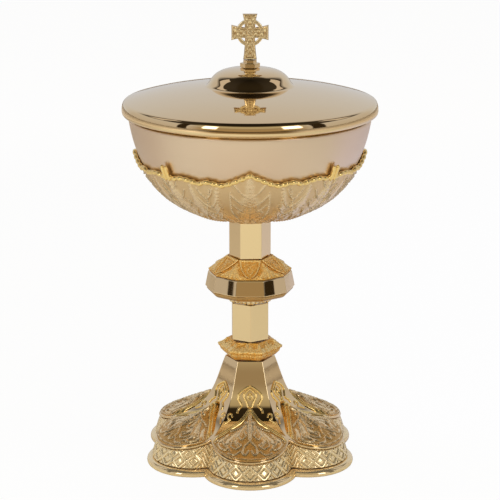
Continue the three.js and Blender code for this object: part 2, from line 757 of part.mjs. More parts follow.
// Six-sided plinth with a thinner six-sided neck above it
function finialCollar() {
  const head = finialCollarFoot + FINIAL_COLLAR_HEIGHT;
  const step = finialCollarFoot + FINIAL_COLLAR_STEP;
  const plinth = [[FINIAL_COLLAR_RADIUS, finialCollarFoot], [FINIAL_COLLAR_RADIUS, step]];
  const neck = [[FINIAL_NECK_RADIUS, step], [FINIAL_NECK_RADIUS, head]];
  const bore = studHole / Math.cos(Math.PI / 6);
  return prismRing(6, 0, [...plinth, ...neck], [[bore, head], [bore, finialCollarFoot]]);
}

// Outline of the cross's four arms about the middle of its ring
function crossOutline() {
  const foot = crossFoot - crossHeadCentre;
  const waist = ARM_WAIST;
  const shape = new THREE.Shape();
  shape.moveTo(waist, waist);
  shape.quadraticCurveTo(waist, ARM_FLARE * HEAD_ARM, HEAD_ARM_HALF, HEAD_ARM);
  shape.lineTo(-HEAD_ARM_HALF, HEAD_ARM);
  shape.quadraticCurveTo(-waist, ARM_FLARE * HEAD_ARM, -waist, waist);
  shape.quadraticCurveTo(-ARM_FLARE * SIDE_ARM, waist, -SIDE_ARM, SIDE_ARM_HALF);
  shape.lineTo(-SIDE_ARM, -SIDE_ARM_HALF);
  shape.quadraticCurveTo(-ARM_FLARE * SIDE_ARM, -waist, -waist, -waist);
  shape.lineTo(-SHAFT_WAIST, -SHAFT_WAIST_DROP);
  shape.lineTo(-SHAFT_FOOT_HALF, foot);
  shape.lineTo(SHAFT_FOOT_HALF, foot);
  shape.lineTo(SHAFT_WAIST, -SHAFT_WAIST_DROP);
  shape.lineTo(waist, -waist);
  shape.quadraticCurveTo(ARM_FLARE * SIDE_ARM, -waist, SIDE_ARM, -SIDE_ARM_HALF);
  shape.lineTo(SIDE_ARM, SIDE_ARM_HALF);
  shape.quadraticCurveTo(ARM_FLARE * SIDE_ARM, waist, waist, waist);
  return shape;
}

// Upright disc through the cross, x and z taken from the middle of its ring
function disc(radius, thickness, x, z, steps) {
  const geometry = new THREE.CylinderGeometry(radius, radius, thickness, steps);
  return solid(geometry.translate(x, 0, crossHeadCentre + z));
}

function finialCross() {
  const arms = new THREE.ExtrudeGeometry(crossOutline(), {
    depth: CROSS_THICKNESS,
    bevelEnabled: false,
    curveSegments: 3,
  });
  arms.rotateX(Math.PI / 2);
  arms.translate(0, CROSS_THICKNESS / 2, crossHeadCentre);
  let body = solid(arms).add(disc(CROSS_RING_RADIUS, CROSS_RING_THICKNESS, 0, 0, ROUND_STEPS));
  for (const x of [-CROSS_HOLE_OFFSET, CROSS_HOLE_OFFSET]) {
    for (const z of [-CROSS_HOLE_OFFSET, CROSS_HOLE_OFFSET]) {
      body = body.subtract(disc(CROSS_HOLE_RADIUS, 2 * CROSS_THICKNESS, x, z, 12));
    }
  }
  const bore = new THREE.CylinderGeometry(studHole, studHole, 2 * STUD_GRIP, SMALL_ROUND_STEPS);
  bore.rotateX(Math.PI / 2);
  bore.translate(0, 0, crossFoot);
  return skin(body.subtract(solid(bore)));
}

// Finishes

function finish(color, roughness) {
  return new THREE.MeshStandardMaterial({ color, roughness, metalness: 1 });
}

const polishedGold = () => finish('#d3b583', 0.1);
const satinGold = () => finish('#d7bc8f', 0.3);
const chasedGold = () => finish('#caa367', 0.3);
const antiqueGold = () => finish('#9c7438', 0.4);
const steel = () => finish('#b5b3ae', 0.4);

// The whole ciborium, from the table up

const ciborium = new THREE.Group();

function add(name, geometry, material) {
  const mesh = new THREE.Mesh(geometry, material);
  mesh.name = name;
  ciborium.add(mesh);
}

add('base_flange', baseFlange(), polishedGold());
add('lattice_gallery', latticeGallery(), antiqueGold());
add('foot_shell', footShell(), polishedGold());
azimuthSteps(LOBES).forEach((middle, i) => {
  add(`arch_frame_${i + 1}`, archFrame(middle), chasedGold());
  add(`lobe_panel_${i + 1}`, lobePanel(middle), antiqueGold());
});

add('foot_collar', footCollar(), chasedGold());
add('lower_stem', stem(LOWER_STEM_TURN, lowerStemFoot, lowerStemHead), polishedGold());
add('knop_neck_ring', knopNeckRing(), chasedGold());
add('knop_underplate', knopUnderplate(), polishedGold());
add('knop_band', knopBand(), polishedGold());
add('knop_crown', knopCrown(), polishedGold());
azimuthSteps(SHIELDS).forEach((middle, i) => add(`knop_shield_${i + 1}`, knopShield(middle), chasedGold()));
add('upper_stem', stem(UPPER_STEM_TURN, upperStemFoot, upperStemHead), polishedGold());

add('calyx', calyx(), chasedGold());
add('cup_bowl', cupBowl(), satinGold());
add('cup_boss', cupBoss(), satinGold());
add('tie_rod', rod(ROD_RADIUS, rodNutFoot - ROD_TAIL, rodHead), steel());
add('tie_rod_washer', washer(rodHole, ROD_WASHER_RADIUS, rodWasherFoot, rodWasherHead), steel());
add('tie_rod_nut', nut(rodHole, ROD_NUT_RADIUS, rodNutFoot, rodNutHead), steel());

add('lid_shell', lidShell(), polishedGold());
add('lid_locating_ring', lidLocatingRing(), satinGold());
add('finial_collar', finialCollar(), polishedGold());
add('finial_cross', finialCross(), chasedGold());
add('finial_stud', rod(STUD_RADIUS, lidNutFoot - STUD_TAIL, crossFoot + STUD_GRIP - GAP), steel());
add('finial_washer', washer(studHole, LID_WASHER_RADIUS, lidWasherFoot, lidWasherHead), steel());
add('finial_nut', nut(studHole, LID_NUT_RADIUS, lidNutFoot, lidNutHead), steel());

export default ciborium;
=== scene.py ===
# %% [markdown]
# # A gilt ciborium, dressed round its CAD frame
#
# A ciborium is a covered cup: a spun bowl in a chased leaf holder, on a six-sided stem with a knop,
# over a foot of six lobes, with a lid that lifts off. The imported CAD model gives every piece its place.
# This lesson replaces its plain solids with finely worked surfaces and gives each one its finish.
# Everything starts from the frame, so the first cell loads it and keeps the box it fills.

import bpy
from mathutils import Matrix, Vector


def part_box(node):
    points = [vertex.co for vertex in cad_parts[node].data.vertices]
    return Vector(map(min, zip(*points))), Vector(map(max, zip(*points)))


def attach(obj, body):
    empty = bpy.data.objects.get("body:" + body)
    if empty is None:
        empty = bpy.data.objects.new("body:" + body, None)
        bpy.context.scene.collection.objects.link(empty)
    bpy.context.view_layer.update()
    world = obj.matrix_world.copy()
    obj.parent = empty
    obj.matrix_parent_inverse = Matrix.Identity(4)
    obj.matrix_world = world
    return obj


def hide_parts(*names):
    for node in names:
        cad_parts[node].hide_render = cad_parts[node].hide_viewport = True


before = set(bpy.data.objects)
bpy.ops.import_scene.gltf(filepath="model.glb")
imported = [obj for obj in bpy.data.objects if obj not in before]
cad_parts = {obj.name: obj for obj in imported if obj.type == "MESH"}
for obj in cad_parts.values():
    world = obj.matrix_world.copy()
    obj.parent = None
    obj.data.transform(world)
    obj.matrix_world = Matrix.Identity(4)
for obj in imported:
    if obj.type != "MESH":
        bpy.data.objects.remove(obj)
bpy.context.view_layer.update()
print("CAD nodes:", len(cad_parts))

# %% Libraries and units
import math

import bmesh
import bpy
import numpy as np

MM = 0.001


def span(node):
    """Heights of a node's lowest and highest points, in millimetres."""
    lowest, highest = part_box(node)
    return lowest.z / MM, highest.z / MM


def reach(node):
    """Half of a node's width from left to right, in millimetres."""
    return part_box(node)[1].x / MM


print("the lid's rim is", round(2 * reach("lid_shell"), 1), "mm across")

# %% [markdown]
# ## The camera
#
# The photograph looks down on the cup a little, from about 1 m away, with a long lens. The tilt comes
# from how round the lip and the foot look, and the distance from how much the near edges grow. The
# camera could be aimed with a constraint, but three plain numbers are easier to check.

# %% Camera
CAMERA_BACK = 1.0
CAMERA_HEIGHT = 0.4
CAMERA_PITCH = 15.31
FOCAL_PIXELS = 1738.1
FRAME_PIXELS = 500
SENSOR = 36.0



def placed(name, data):
    """New object in the scene for a mesh, camera or lamp."""
    thing = bpy.data.objects.new(name, data)
    bpy.context.scene.collection.objects.link(thing)
    return thing


camera_data = bpy.data.cameras.new("camera")
camera_data.sensor_width = SENSOR
camera_data.lens = FOCAL_PIXELS / FRAME_PIXELS * SENSOR
camera_data.clip_start = 0.01
camera = placed("camera", camera_data)
camera.location = (0.0, -CAMERA_BACK, CAMERA_HEIGHT)
camera.rotation_euler = (math.radians(90 - CAMERA_PITCH), 0.0, 0.0)
bpy.context.scene.camera = camera
print("lens", round(camera_data.lens, 1), "mm")

# %% [markdown]
# ## Meshes from grids of points
#
# Most of the pieces are surfaces of two parameters: how far round the axis, and how far along a profile.
# Numpy works out all their points at once, and one helper turns any such grid into a mesh. A bmesh pass
# welds the seam and the poles and turns every face outwards, which a mirror finish needs.

# %% Grid helpers
def grid_quads(rows, columns, close_rows=False, close_columns=True):
    """Quads of a grid: point (i, j) joins (i, j + 1), (i + 1, j + 1) and (i + 1, j).
    A closed direction joins its last line of points to its first."""
    i, j = np.meshgrid(
        np.arange(rows if close_rows else rows - 1),
        np.arange(columns if close_columns else columns - 1),
        indexing="ij",
    )
    below, beside = (i + 1) % rows, (j + 1) % columns
    corners = [i * columns + j, i * columns + beside, below * columns + beside, below * columns + j]
    return np.stack(corners, -1).reshape(-1, 4)


def weld(mesh):
    """Joins points that coincide and turns all faces outwards."""
    work = bmesh.new()
    work.from_mesh(mesh)
    bmesh.ops.remove_doubles(work, verts=work.verts, dist=2e-7)
    bmesh.ops.recalc_face_normals(work, faces=work.faces)
    work.to_mesh(mesh)
    work.free()


def add_piece(name, points, quads, finish, node=None, body="stand", relief=None, crease=None):
    """Makes a piece from points in millimetres, in place of a CAD node. relief is 0 in the grounds
    and 1 on the high places; edges sharper than crease, in degrees, are shaded as edges."""
    mesh = bpy.data.meshes.new(name)
    mesh.from_pydata((np.reshape(points, (-1, 3)) * MM).tolist(), [], quads.tolist())
    if relief is not None:
        mesh.attributes.new("relief", "FLOAT", "POINT").data.foreach_set("value", np.ravel(relief))
    weld(mesh)
    mesh.shade_smooth()
    if crease is not None:
        mesh.set_sharp_from_angle(angle=math.radians(crease))
    mesh.materials.append(finish)
    piece = placed(name, mesh)
    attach(piece, body)
    if node:
        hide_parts(node)
    print(name, len(mesh.polygons), "faces")
    return piece


def add_grid(name, grid, finish, node, closed=True, **more):
    """Piece from a grid that closes round the axis and, unless it ends in poles, along its section."""
    return add_piece(name, grid, grid_quads(*grid.shape[:2], close_rows=closed), finish, node, **more)


def polar(radius, azimuth, height):
    """Points at a radius and height; the azimuth is in degrees from the front, towards +X."""
    turn = np.radians(azimuth)
    return np.stack(np.broadcast_arrays(radius * np.sin(turn), -radius * np.cos(turn), height), -1)


def turns(steps):
    """Azimuths at equal steps round the axis."""
    return np.arange(steps) * 360 / steps


def revolve(profile, steps):
    """Turned surface: each profile point (radius, height) runs round a circle of equal steps."""
    profile = np.asarray(profile)
    return polar(profile[:, :1], turns(steps), profile[:, 1:])


def stacked(*parts):
    """One grid from single rings and grids of rings."""
    return np.concatenate([part if part.ndim == 3 else part[None] for part in parts])


# %% Curve helpers
def bow(start, start_angle, start_reach, end, end_angle, end_reach):
    """Cubic curve between two points with the given directions: the weights of its four control
    points are the terms of ((1 - t) + t) cubed."""
    start, end = np.array(start, float), np.array(end, float)
    leave, arrive = np.radians(start_angle), np.radians(end_angle)
    second = start + start_reach * np.array([np.cos(leave), np.sin(leave)])
    third = end - end_reach * np.array([np.cos(arrive), np.sin(arrive)])

    def curve(t):
        t = np.asarray(t, float)[..., None]
        left = 1 - t
        return left**3 * start + 3 * left**2 * t * second + 3 * left * t**2 * third + t**3 * end

    return curve


def unit(vectors):
    """Vectors scaled to a length of 1."""
    return vectors / np.maximum(np.linalg.norm(vectors, axis=-1, keepdims=True), 1e-9)


def right_of(line):
    """Unit vectors square to a line of (radius, height) points, to the right of its direction."""
    along = unit(np.gradient(line, axis=0))
    return np.stack([along[:, 1], -along[:, 0]], -1)


def walked_along(line):
    """Length walked along a line to each of its points."""
    return np.append(0, np.cumsum(np.linalg.norm(np.diff(line, axis=0), axis=1)))


def smooth_line(points, count=40):
    """Smooth line through a few points: Catmull-Rom, each stretch a cubic whose end slopes are half
    the step between its neighbours."""
    points = np.array(points, float)
    padded = np.vstack([2 * points[0] - points[1], points, 2 * points[-1] - points[-2]])
    place = np.linspace(0, len(points) - 1, count)
    stretch = np.minimum(place.astype(int), len(points) - 2)
    t = (place - stretch)[:, None]
    a, b, c, d = (padded[stretch + k] for k in range(4))
    return 0.5 * (2 * b + (c - a) * t + (2 * a - 5 * b + 4 * c - d) * t**2 + (3 * b - a - 3 * c + d) * t**3)


def half_round(start, end, steps=8):
    """Points round a half circle from start to end, bulging to the right of the way between them."""
    middle, spoke = (start + end) / 2, (start - end) / 2
    turn = np.linspace(0, np.pi, steps + 1)[:, None]
    return middle + spoke * np.cos(turn) + np.array([-spoke[1], spoke[0]]) * np.sin(turn)


# %% [markdown]
# ## Relief
#
# Chased and cast ornament is a low landscape of ridges. Each ridge here follows a line, and a point of
# the surface rises by how near it lies to that line. The distances are taken in space, so the same
# helper works on the foot, the calyx and the shields. The height is also stored on the points, so that
# the finish can paint shade into the low grounds.

# %% Relief helpers
def nearest(points, line):
    """Distance from each point to the nearest sample of a line, and which sample that is."""
    gaps = np.linalg.norm(points[:, None, :] - line[None, :, :], axis=2)
    which = gaps.argmin(axis=1)
    return gaps[np.arange(len(points)), which], which


def ridge(points, line, width, height):
    """Rounded ridge: its height times the root of 1 - (distance / half width) squared."""
    gap, which = nearest(points, line)
    crest = np.broadcast_to(height, len(line))[which]
    return crest * np.sqrt(np.clip(1 - (gap / (width / 2)) ** 2, 0, 1))


def leaf(points, line, width, height, teeth=0):
    """Leaf blade: widest before its middle, with a keel along the line and a notched edge; its height
    falls as 1 - distance over half width."""
    gap, which = nearest(points, line)
    share = np.linspace(0, 1, len(line))
    swell = np.sin(np.pi * share**0.75) ** 0.8
    half = np.maximum(width / 2 * swell * (1 - 0.18 * np.cos(2 * np.pi * teeth * share)), 0.05)[which]
    q = np.clip(gap / half, 0, 1)
    return height * (0.6 * (1 - q**3) + 0.4 * (1 - q))


# %% [markdown]
# ## Finishes
#
# The whole vessel is gilt: one gold colour, worked to different surfaces. The lid, trunk and mouldings are
# buffed to a mirror, the cup is satin from a spinning brush, and the ornament is chased, its grounds
# matted and darkened with painted shade. Procedural noise in Object coordinates breaks up the roughness a
# little, because no polish is even. A texture of real scratches could do that too, but would need an image.

# %% Shader helper
def rgba(colour):
    """Colour with full opacity; a socket passes as it is."""
    return colour if isinstance(colour, bpy.types.NodeSocket) else (*colour, 1.0)


class Nodes:
    """A cleared shader tree, with short words for the nodes that it gets. Inputs are numbers, colours
    or other nodes' sockets, by name or place."""

    def __init__(self, owner):
        owner.use_nodes = True
        self.tree = owner.node_tree
        self.tree.nodes.clear()

    def add(self, kind, inputs=(), **settings):
        """Adds a node and gives it back."""
        node = self.tree.nodes.new("ShaderNode" + kind)
        for name, value in settings.items():
            setattr(node, name, value)
        for place, value in dict(inputs).items():
            if isinstance(value, bpy.types.NodeSocket):
                self.tree.links.new(value, node.inputs[place])
            else:
                node.inputs[place].default_value = value
        return node

    def out(self, kind, inputs=(), output=0, **settings):
        """Adds a node and gives back one of its outputs."""
        return self.add(kind, inputs, **settings).outputs[output]

    def math(self, operation, first, second=0.0):
        """Result of a sum with one or two values."""
        return self.out("Math", {0: first, 1: second}, operation=operation)

    def fit(self, value, start, end, low=0.0, high=1.0, way="LINEAR"):
        """Takes a value from the range start to end to the range low to high."""
        return self.out("MapRange", {0: value, 1: start, 2: end, 3: low, 4: high}, interpolation_type=way)

    def step(self, value, start, end):
        """Smooth step from 0 at start to 1 at end."""
        return self.fit(value, start, end, way="SMOOTHSTEP")

    def blend(self, share, first, second):
        """Blend of two colours."""
        return self.out("Mix", {"Factor": share, 6: rgba(first), 7: rgba(second)}, 2, data_type="RGBA")

    def bump(self, height, depth, **more):
        """Normals of dents of a depth in millimetres."""
        return self.out("Bump", {"Height": height, "Distance": depth * MM, "Strength": 1.0, **more})

    def end(self, kind, result):
        """Joins the result to the tree's output."""
        self.tree.links.new(result, self.add("Output" + kind).inputs[0])


# %% Metal
def metal(
    name, colour, roughness, ground=None, curls=None, bare=1,
    grain=900, depth=0.02, spread=0.03, spun=False,
):
    """Metal whose roughness wanders by spread, with dents of a depth in millimetres and a size of
    1 / grain metres. With a ground colour, the relief attribute mattes the low places and paints shade
    into them in that darker colour; curls, as (size per metre, depth in mm, share of the relief), adds
    the fine curled leafage that a chaser fills a ground with. bare is the share that shines as plain
    metal: the rest scatters like the frosted skin of a casting. spun gives the fine rings of a lathe."""
    material = bpy.data.materials.new(name)
    nodes = Nodes(material)
    place = nodes.out("TexCoord", output="Object")
    along = nodes.out("Mapping", {0: place, "Scale": (0.03, 0.03, 6.0)}) if spun else place
    noise = nodes.out("TexNoise", {"Vector": along, "Scale": grain, "Detail": 3.0})
    rough = nodes.fit(noise, 0.3, 0.7, roughness - spread, roughness + spread)
    shade = rgba(colour)
    square = nodes.bump(noise, depth)
    # The ground colour is painted shade: the low places of the relief take it, the high places keep the
    # metal's colour.
    if ground is not None:
        lift = nodes.fit(nodes.out("Attribute", output="Fac", attribute_name="relief"), 0.0, 0.55)
        if curls is not None:
            size, curl_depth, share = curls
            twirl = nodes.out("TexNoise", {"Vector": place, "Scale": size, "Detail": 1.5, "Distortion": 1.8})
            leafage = nodes.fit(twirl, 0.4, 0.6)
            lift = nodes.out("Mix", {0: share, 2: lift, 3: leafage})
            square = nodes.bump(leafage, curl_depth, Normal=square)
        shade = nodes.blend(lift, ground, colour)
        rough = nodes.math("ADD", rough, nodes.fit(lift, 0.0, 1.0, 0.18, 0.0))
    surface = {"Base Color": shade, "Metallic": bare, "Roughness": rough, "Normal": square}
    nodes.end("Material", nodes.out("BsdfPrincipled", surface))
    return material


# %% Gold and steel
GOLD = (0.90, 0.71, 0.43)
mirror = metal("mirror gold", GOLD, 0.05, grain=40, spread=0.02)
rope = metal("rope gold", (1, 0.76, 0.32), 0.08, bare=0.9, grain=60, spread=0.02)
moulding = metal("moulding gold", (0.95, 0.77, 0.46), 0.07, bare=0.84, grain=60, spread=0.02)
satin = metal("satin gold", (0.84, 0.68, 0.53), 0.33, grain=400, spread=0.04, spun=True)
lining = metal("cup lining", GOLD, 0.12, grain=60, depth=0.01)
steel = metal("turned steel", (0.56, 0.55, 0.53), 0.34, grain=700, depth=0.01, spread=0.05)
# The cast gold's second colour is painted shade for the low places of its relief.
cast = metal("cast gold", (0.94, 0.78, 0.48), 0.12, (0.54, 0.34, 0.13), bare=0.75, spread=0.04)

# Each of these adds a ground colour, painted shade for its low places, its curls and the bare share.
leafy = metal(
    "leaf gold", (0.88, 0.71, 0.47), 0.22, (0.76, 0.57, 0.33), (500, 0.03, 0.15), 0.85
)
chased = metal(
    "chased gold", (1, 0.76, 0.33), 0.18, (0.80, 0.40, 0.06), (420, 0.16, 0.35), 0.55
)
# Gold of the lobe panels; its ground colour is painted shade in their low places.
lobe_gold = metal(
    "lobe gold", (0.96, 0.76, 0.45), 0.13, (0.62, 0.36, 0.10), (600, 0.03, 0.12), 0.85
)
print("finishes:", len(bpy.data.materials))

# %% [markdown]
# ## Cup and lid
#
# Both are spun from sheet over a form, so their sections are smooth curves of even thickness. The cup's
# curve is the CAD model's own. The lid's keeps within 1.5 mm of it, with a flatter dome and a fuller rim,
# because a mirror shows the smallest change of slope. The cup's cut edge and the lid's rolled rim are
# rounded: a sharp edge would cut the hand that lifts them.

# %% Cup
SHEET = 1.5
cup_foot, lip = span("cup_bowl")
cup_curve = bow((0, cup_foot), 2, 47.2, (reach("cup_bowl"), lip), 82, 37.6)


def off_cup(t, distance):
    """Line of (radius, height) points beside the cup's outside, distance outwards."""
    line = cup_curve(t)
    return line + distance * right_of(line)


cup_out = off_cup(np.linspace(0, 0.985, 64), 0)
cup_in = off_cup(np.linspace(0, 0.985, 64), -SHEET)[::-1]
cup_in[-1, 0] = 0
lip_edge = half_round(cup_out[-1], cup_in[0])[1:-1]
lip_edge[:, 1] = np.minimum(lip_edge[:, 1], lip)
cup = add_grid("cup", revolve(np.vstack([cup_out, lip_edge, cup_in]), 192), satin, "cup_bowl", closed=False)
cup.data.materials.append(lining)
for face in cup.data.polygons:
    inward = face.normal.x * face.center.x + face.normal.y * face.center.y < 0 or face.normal.z > 0.95
    face.material_index = 1 if inward else 0

# %% Lid
seat, lid_top = span("lid_shell")
BOSS_FOOT = (23.8, lid_top - 8.3)
DOME_HEAD = (26.5, lid_top - 10.6)
RIM = (reach("lid_shell"), seat + 2.7)
DOME_EDGE = (RIM[0] - 2.6, seat + 8.5)
SEAT_EDGE = (71.7, seat)
LID_STRETCHES = [
    (bow((0, lid_top), 0, 18, BOSS_FOOT, -57, 6), 40),
    (bow(BOSS_FOOT, -56, 1.3, DOME_HEAD, -6, 1.3), 12),
    (bow(DOME_HEAD, -6, 16, DOME_EDGE, -17, 15), 60),
    (bow(DOME_EDGE, -17, 1.9, RIM, -90, 3.6), 24),
    (bow(RIM, -90, 2.1, SEAT_EDGE, -165, 1.2), 14),
]
ROLLED_EDGE = [(70.5, 0), (70.2, 0.3), (71.0, 1.3), (72.6, 2.3), (73.2, 3.6), (73.2, 5.2), (72.8, 6.3)]
lid_out = np.vstack([curve(np.linspace(0, 1, steps, endpoint=False)) for curve, steps in LID_STRETCHES])
lid_in = (lid_out + SHEET * right_of(lid_out))[::-1]
lid_in = lid_in[(lid_in[:, 0] < 72.6) & (lid_in[:, 1] > seat + 3.2)]
lid_in[-1] = (0, lid_top - SHEET)
lid_foot = [SEAT_EDGE, *[(radius, seat + up) for radius, up in ROLLED_EDGE]]
lid_rings = revolve(np.vstack([lid_out, lid_foot, lid_in]), 240)
add_grid("lid", lid_rings, mirror, "lid_shell", closed=False, body="lid")

# %% Locating ring
ring_foot, ring_head = span("lid_locating_ring")
inside_cup = off_cup(np.linspace(0, 1, 400), -2.0)
ring_fit = float(np.interp(ring_foot, inside_cup[:, 1], inside_cup[:, 0]))
RING_SECTION = [
    (ring_fit - 1.0, ring_foot + 0.2), (ring_fit - 0.5, ring_foot), (ring_fit - 0.1, ring_foot + 0.3),
    (69.2, lip - 0.2), (69.2, seat + 0.3), (69.7, seat + 0.3), (69.9, seat + 0.5), (69.9, ring_head - 0.2),
    (69.7, ring_head), (68.1, ring_head), (67.9, ring_head - 0.3), (67.8, lip - 0.2),
]
add_grid("locating_ring", revolve(RING_SECTION, 160), mirror, "lid_locating_ring", body="lid", crease=40)

# %% [markdown]
# ## Stems, rings and knop
#
# The stem is drawn six-sided tube, and the knop is a ten-sided band between a relief crown and a plain
# underplate. A real mitred edge is never sharp: the buffing wheel rounds it, and that small round is what
# draws the bright line down each corner. So every prism is a grid whose corners follow a small circle.
# A bevel modifier could round them as well, but relief is easier to lay over a grid.

# %% Prism helpers
def prism_radius(corner, sides, azimuth, fillet):
    """Distance from the axis to a regular prism's wall. With a = the flat's distance from the axis and
    b = the turn from its middle, the flat lies at a / cos b; past the touching point the wall is a
    circle of the fillet's radius round a centre on the corner's own spoke."""
    half = math.pi / sides
    sector = 2 * half
    turn = np.radians(azimuth)
    turn = np.abs(turn - sector * np.round(turn / sector))
    flat = corner * math.cos(half)
    centre = (flat - fillet) / math.cos(half)
    touch = np.arctan((flat - fillet) * math.tan(half) / flat)
    across = centre * np.sin(half - turn)
    round_part = centre * np.cos(half - turn) + np.sqrt(np.clip(fillet**2 - across**2, 0, None))
    return np.where(turn < touch, flat / np.cos(turn), round_part)


def prism_azimuths(sides, turn, corner_width, corner_steps=6, face_steps=6):
    """Azimuths round a prism: close together near each corner, wider apart on the flats."""
    half = 180 / sides
    edge = np.linspace(-corner_width, corner_width, 2 * corner_steps + 1)
    flat = np.linspace(corner_width * 1.5, 2 * half - corner_width * 1.5, face_steps + 1)
    one = np.concatenate([edge, flat])
    return np.concatenate([turn + half + side * 2 * half + one for side in range(sides)])


def prism(profile, sides, turn, fillet, azimuth, swell=0.0):
    """Grid of a prism whose corners follow the profile's (corner radius, height) points. Buffing leaves
    each facet a little full: it swells by swell * cos^2 of the turn across it, in millimetres."""
    profile = np.asarray(profile, float)
    fullness = swell * np.cos(np.radians(azimuth - turn) * sides / 2) ** 2
    rings = [prism_radius(corner, sides, azimuth - turn, fillet) + fullness for corner, _ in profile]
    return polar(np.array(rings), azimuth, profile[:, 1:])


def outward(grid):
    """Unit vectors square to a grid whose columns run round the axis and whose rows run up its
    outside: the cross product of the two directions."""
    across = np.roll(grid, -1, axis=1) - np.roll(grid, 1, axis=1)
    return unit(np.cross(across, np.gradient(grid, axis=0)))


# %% Stems
STEM_CORNER = 12.45
LOWER_TURN = 32
UPPER_TURN = 3
TUBE_END = [(1.9, 0.3), (1.4, 0), (0.25, 0), (0, 0.25), (0, 1)]
for name, turn, node in [("stem_lower", LOWER_TURN, "lower_stem"), ("stem_upper", UPPER_TURN, "upper_stem")]:
    foot, head = span(node)
    tube = [(STEM_CORNER - inset, foot + up) for inset, up in TUBE_END]
    tube += [(STEM_CORNER, height) for height in np.linspace(foot + 2, head - 2, 12)]
    tube += [(STEM_CORNER - inset, head - down) for inset, down in TUBE_END[::-1]]
    add_grid(name, prism(tube, 6, turn, 0.7, prism_azimuths(6, turn, 3.5)), mirror, node, crease=40)


# %% Band of the knop
def rounded_section(corners, size=0.3, steps=3):
    """Closed section with each of its corners cut by a short curve, a bow through the corner. A point
    just beside each curve keeps the flat faces flat to the eye."""
    corners = np.array(corners, float)
    line = []
    for before, corner, after in zip(np.roll(corners, 1, 0), corners, np.roll(corners, -1, 0)):
        back, ahead = unit(before - corner), unit(after - corner)
        line.append(corner + 1.5 * size * back)
        for t in np.linspace(0, 1, steps + 1):
            leave, arrive = (1 - t) ** 2 * (corner + size * back), t**2 * (corner + size * ahead)
            line.append(leave + 2 * (1 - t) * t * corner + arrive)
        line.append(corner + 1.5 * size * ahead)
    return np.array(line)


band_foot, band_head = span("knop_band")
BAND_FOOT_CORNER = 26.8
BAND_HEAD_CORNER = 25.1
band_corners = [
    (BAND_FOOT_CORNER - 2.4, band_foot), (BAND_FOOT_CORNER - 0.3, band_foot),
    (BAND_FOOT_CORNER, band_foot + 0.4), (BAND_HEAD_CORNER, band_head - 0.7),
    (BAND_HEAD_CORNER - 0.4, band_head), (BAND_HEAD_CORNER - 2.4, band_head),
]
band_azimuth = prism_azimuths(10, 0, 1.6, corner_steps=4, face_steps=10)
band_grid = prism(rounded_section(band_corners, 0.16), 10, 0, 0.5, band_azimuth, swell=0.28)
add_grid("knop_facets", band_grid, mirror, "knop_band", crease=50)

# %% Underplate of the knop
plate_foot, plate_head = span("knop_underplate")
NECK_CORNER = 15.2
plate_edge = BAND_FOOT_CORNER - 0.9
under_curve = bow((NECK_CORNER, plate_foot), 12, 5, (plate_edge, plate_head - 0.9), 62, 3.5)
plate_section = np.vstack(
    [
        [(10.6, plate_foot + 2.4), (10.6, plate_foot + 0.2), (10.9, plate_foot)],
        under_curve(np.linspace(0, 1, 14)),
        [(plate_edge, plate_head - 0.3), (plate_edge - 0.3, plate_head), (plate_edge - 2.2, plate_head)],
        [(plate_edge - 2.4, plate_head - 0.2)],
    ]
)
# No relief is stored here, so the whole underside takes the cast gold's ground colour, painted shade.
add_grid("knop_underside", prism(plate_section, 10, 0, 0.5, band_azimuth), cast, "knop_underplate", crease=50)

# %% [markdown]
# ## Ornament
#
# The collar, the neck ring and the crown of the knop are cast with leaves. A few strokes drawn on one
# sector give the whole ring: each stroke is a short smooth line in (azimuth, share of the height), laid
# on the surface and mirrored. Drawing every leaf by hand would give more variety, but on the real piece
# the leaves repeat too, because they come from one pattern.

# %% Mirrored relief
def folded(azimuth, sectors):
    """Azimuth from the middle of its sector, without its sign, so that both halves match."""
    sector = 360 / sectors
    return np.round(np.abs(azimuth - sector * np.round(azimuth / sector)), 5)


def mirrored(azimuth, sectors, field):
    """Relief of half a sector spread over them all. field takes the half's azimuths."""
    half, back = np.unique(folded(azimuth, sectors), return_inverse=True)
    return field(half)[:, back]


def relief_of(points, place, strokes):
    """Highest of all strokes at each point. A stroke is (form, line, width, height, ...): form is
    ridge or leaf, and place lays the line's (azimuth, share) points on the surface."""
    flat = points.reshape(-1, 3)
    rise = np.zeros(len(flat))
    for form, line, *size in strokes:
        path = place(*smooth_line(line, 28).T)
        reach_out = size[0] / 2 + np.ptp(path, axis=0).max() + 1
        near = np.linalg.norm(flat - path[len(path) // 2], axis=1) < reach_out
        if near.any():
            rise[near] = np.maximum(rise[near], form(flat[near], path, *size))
    return rise.reshape(points.shape[:-1])


def in_rings(rise, before, after):
    """Relief of a grid that has plain rings before and after its raised ones."""
    return np.pad(rise, ((before, after), (0, 0)))


# %% Collar
collar_foot, collar_head = span("foot_collar")
COLLAR_TURN = -8
COLLAR_CORNER = 20.2
collar_edge = collar_foot + 5.6
collar_under = bow((14.7, collar_foot), 20, 2.6, (COLLAR_CORNER - 1, collar_edge - 0.5), 60, 2)
collar_over = bow((COLLAR_CORNER - 0.5, collar_edge + 1), 120, 1, (13.65, collar_head), 115, 4)
collar_azimuth = prism_azimuths(6, COLLAR_TURN, 5, face_steps=30)


def collar_place(azimuth, share):
    """Collar's upper side: share 0 at the edge and 1 at the stem."""
    point = collar_over(share)
    return polar(prism_radius(point[..., 0], 6, azimuth, 1.2), azimuth, point[..., 1])


def collar_field(half):
    """Leaves on half a side of the collar."""
    return relief_of(collar_place(half, collar_rows[:, None]), collar_place, COLLAR_LEAVES)


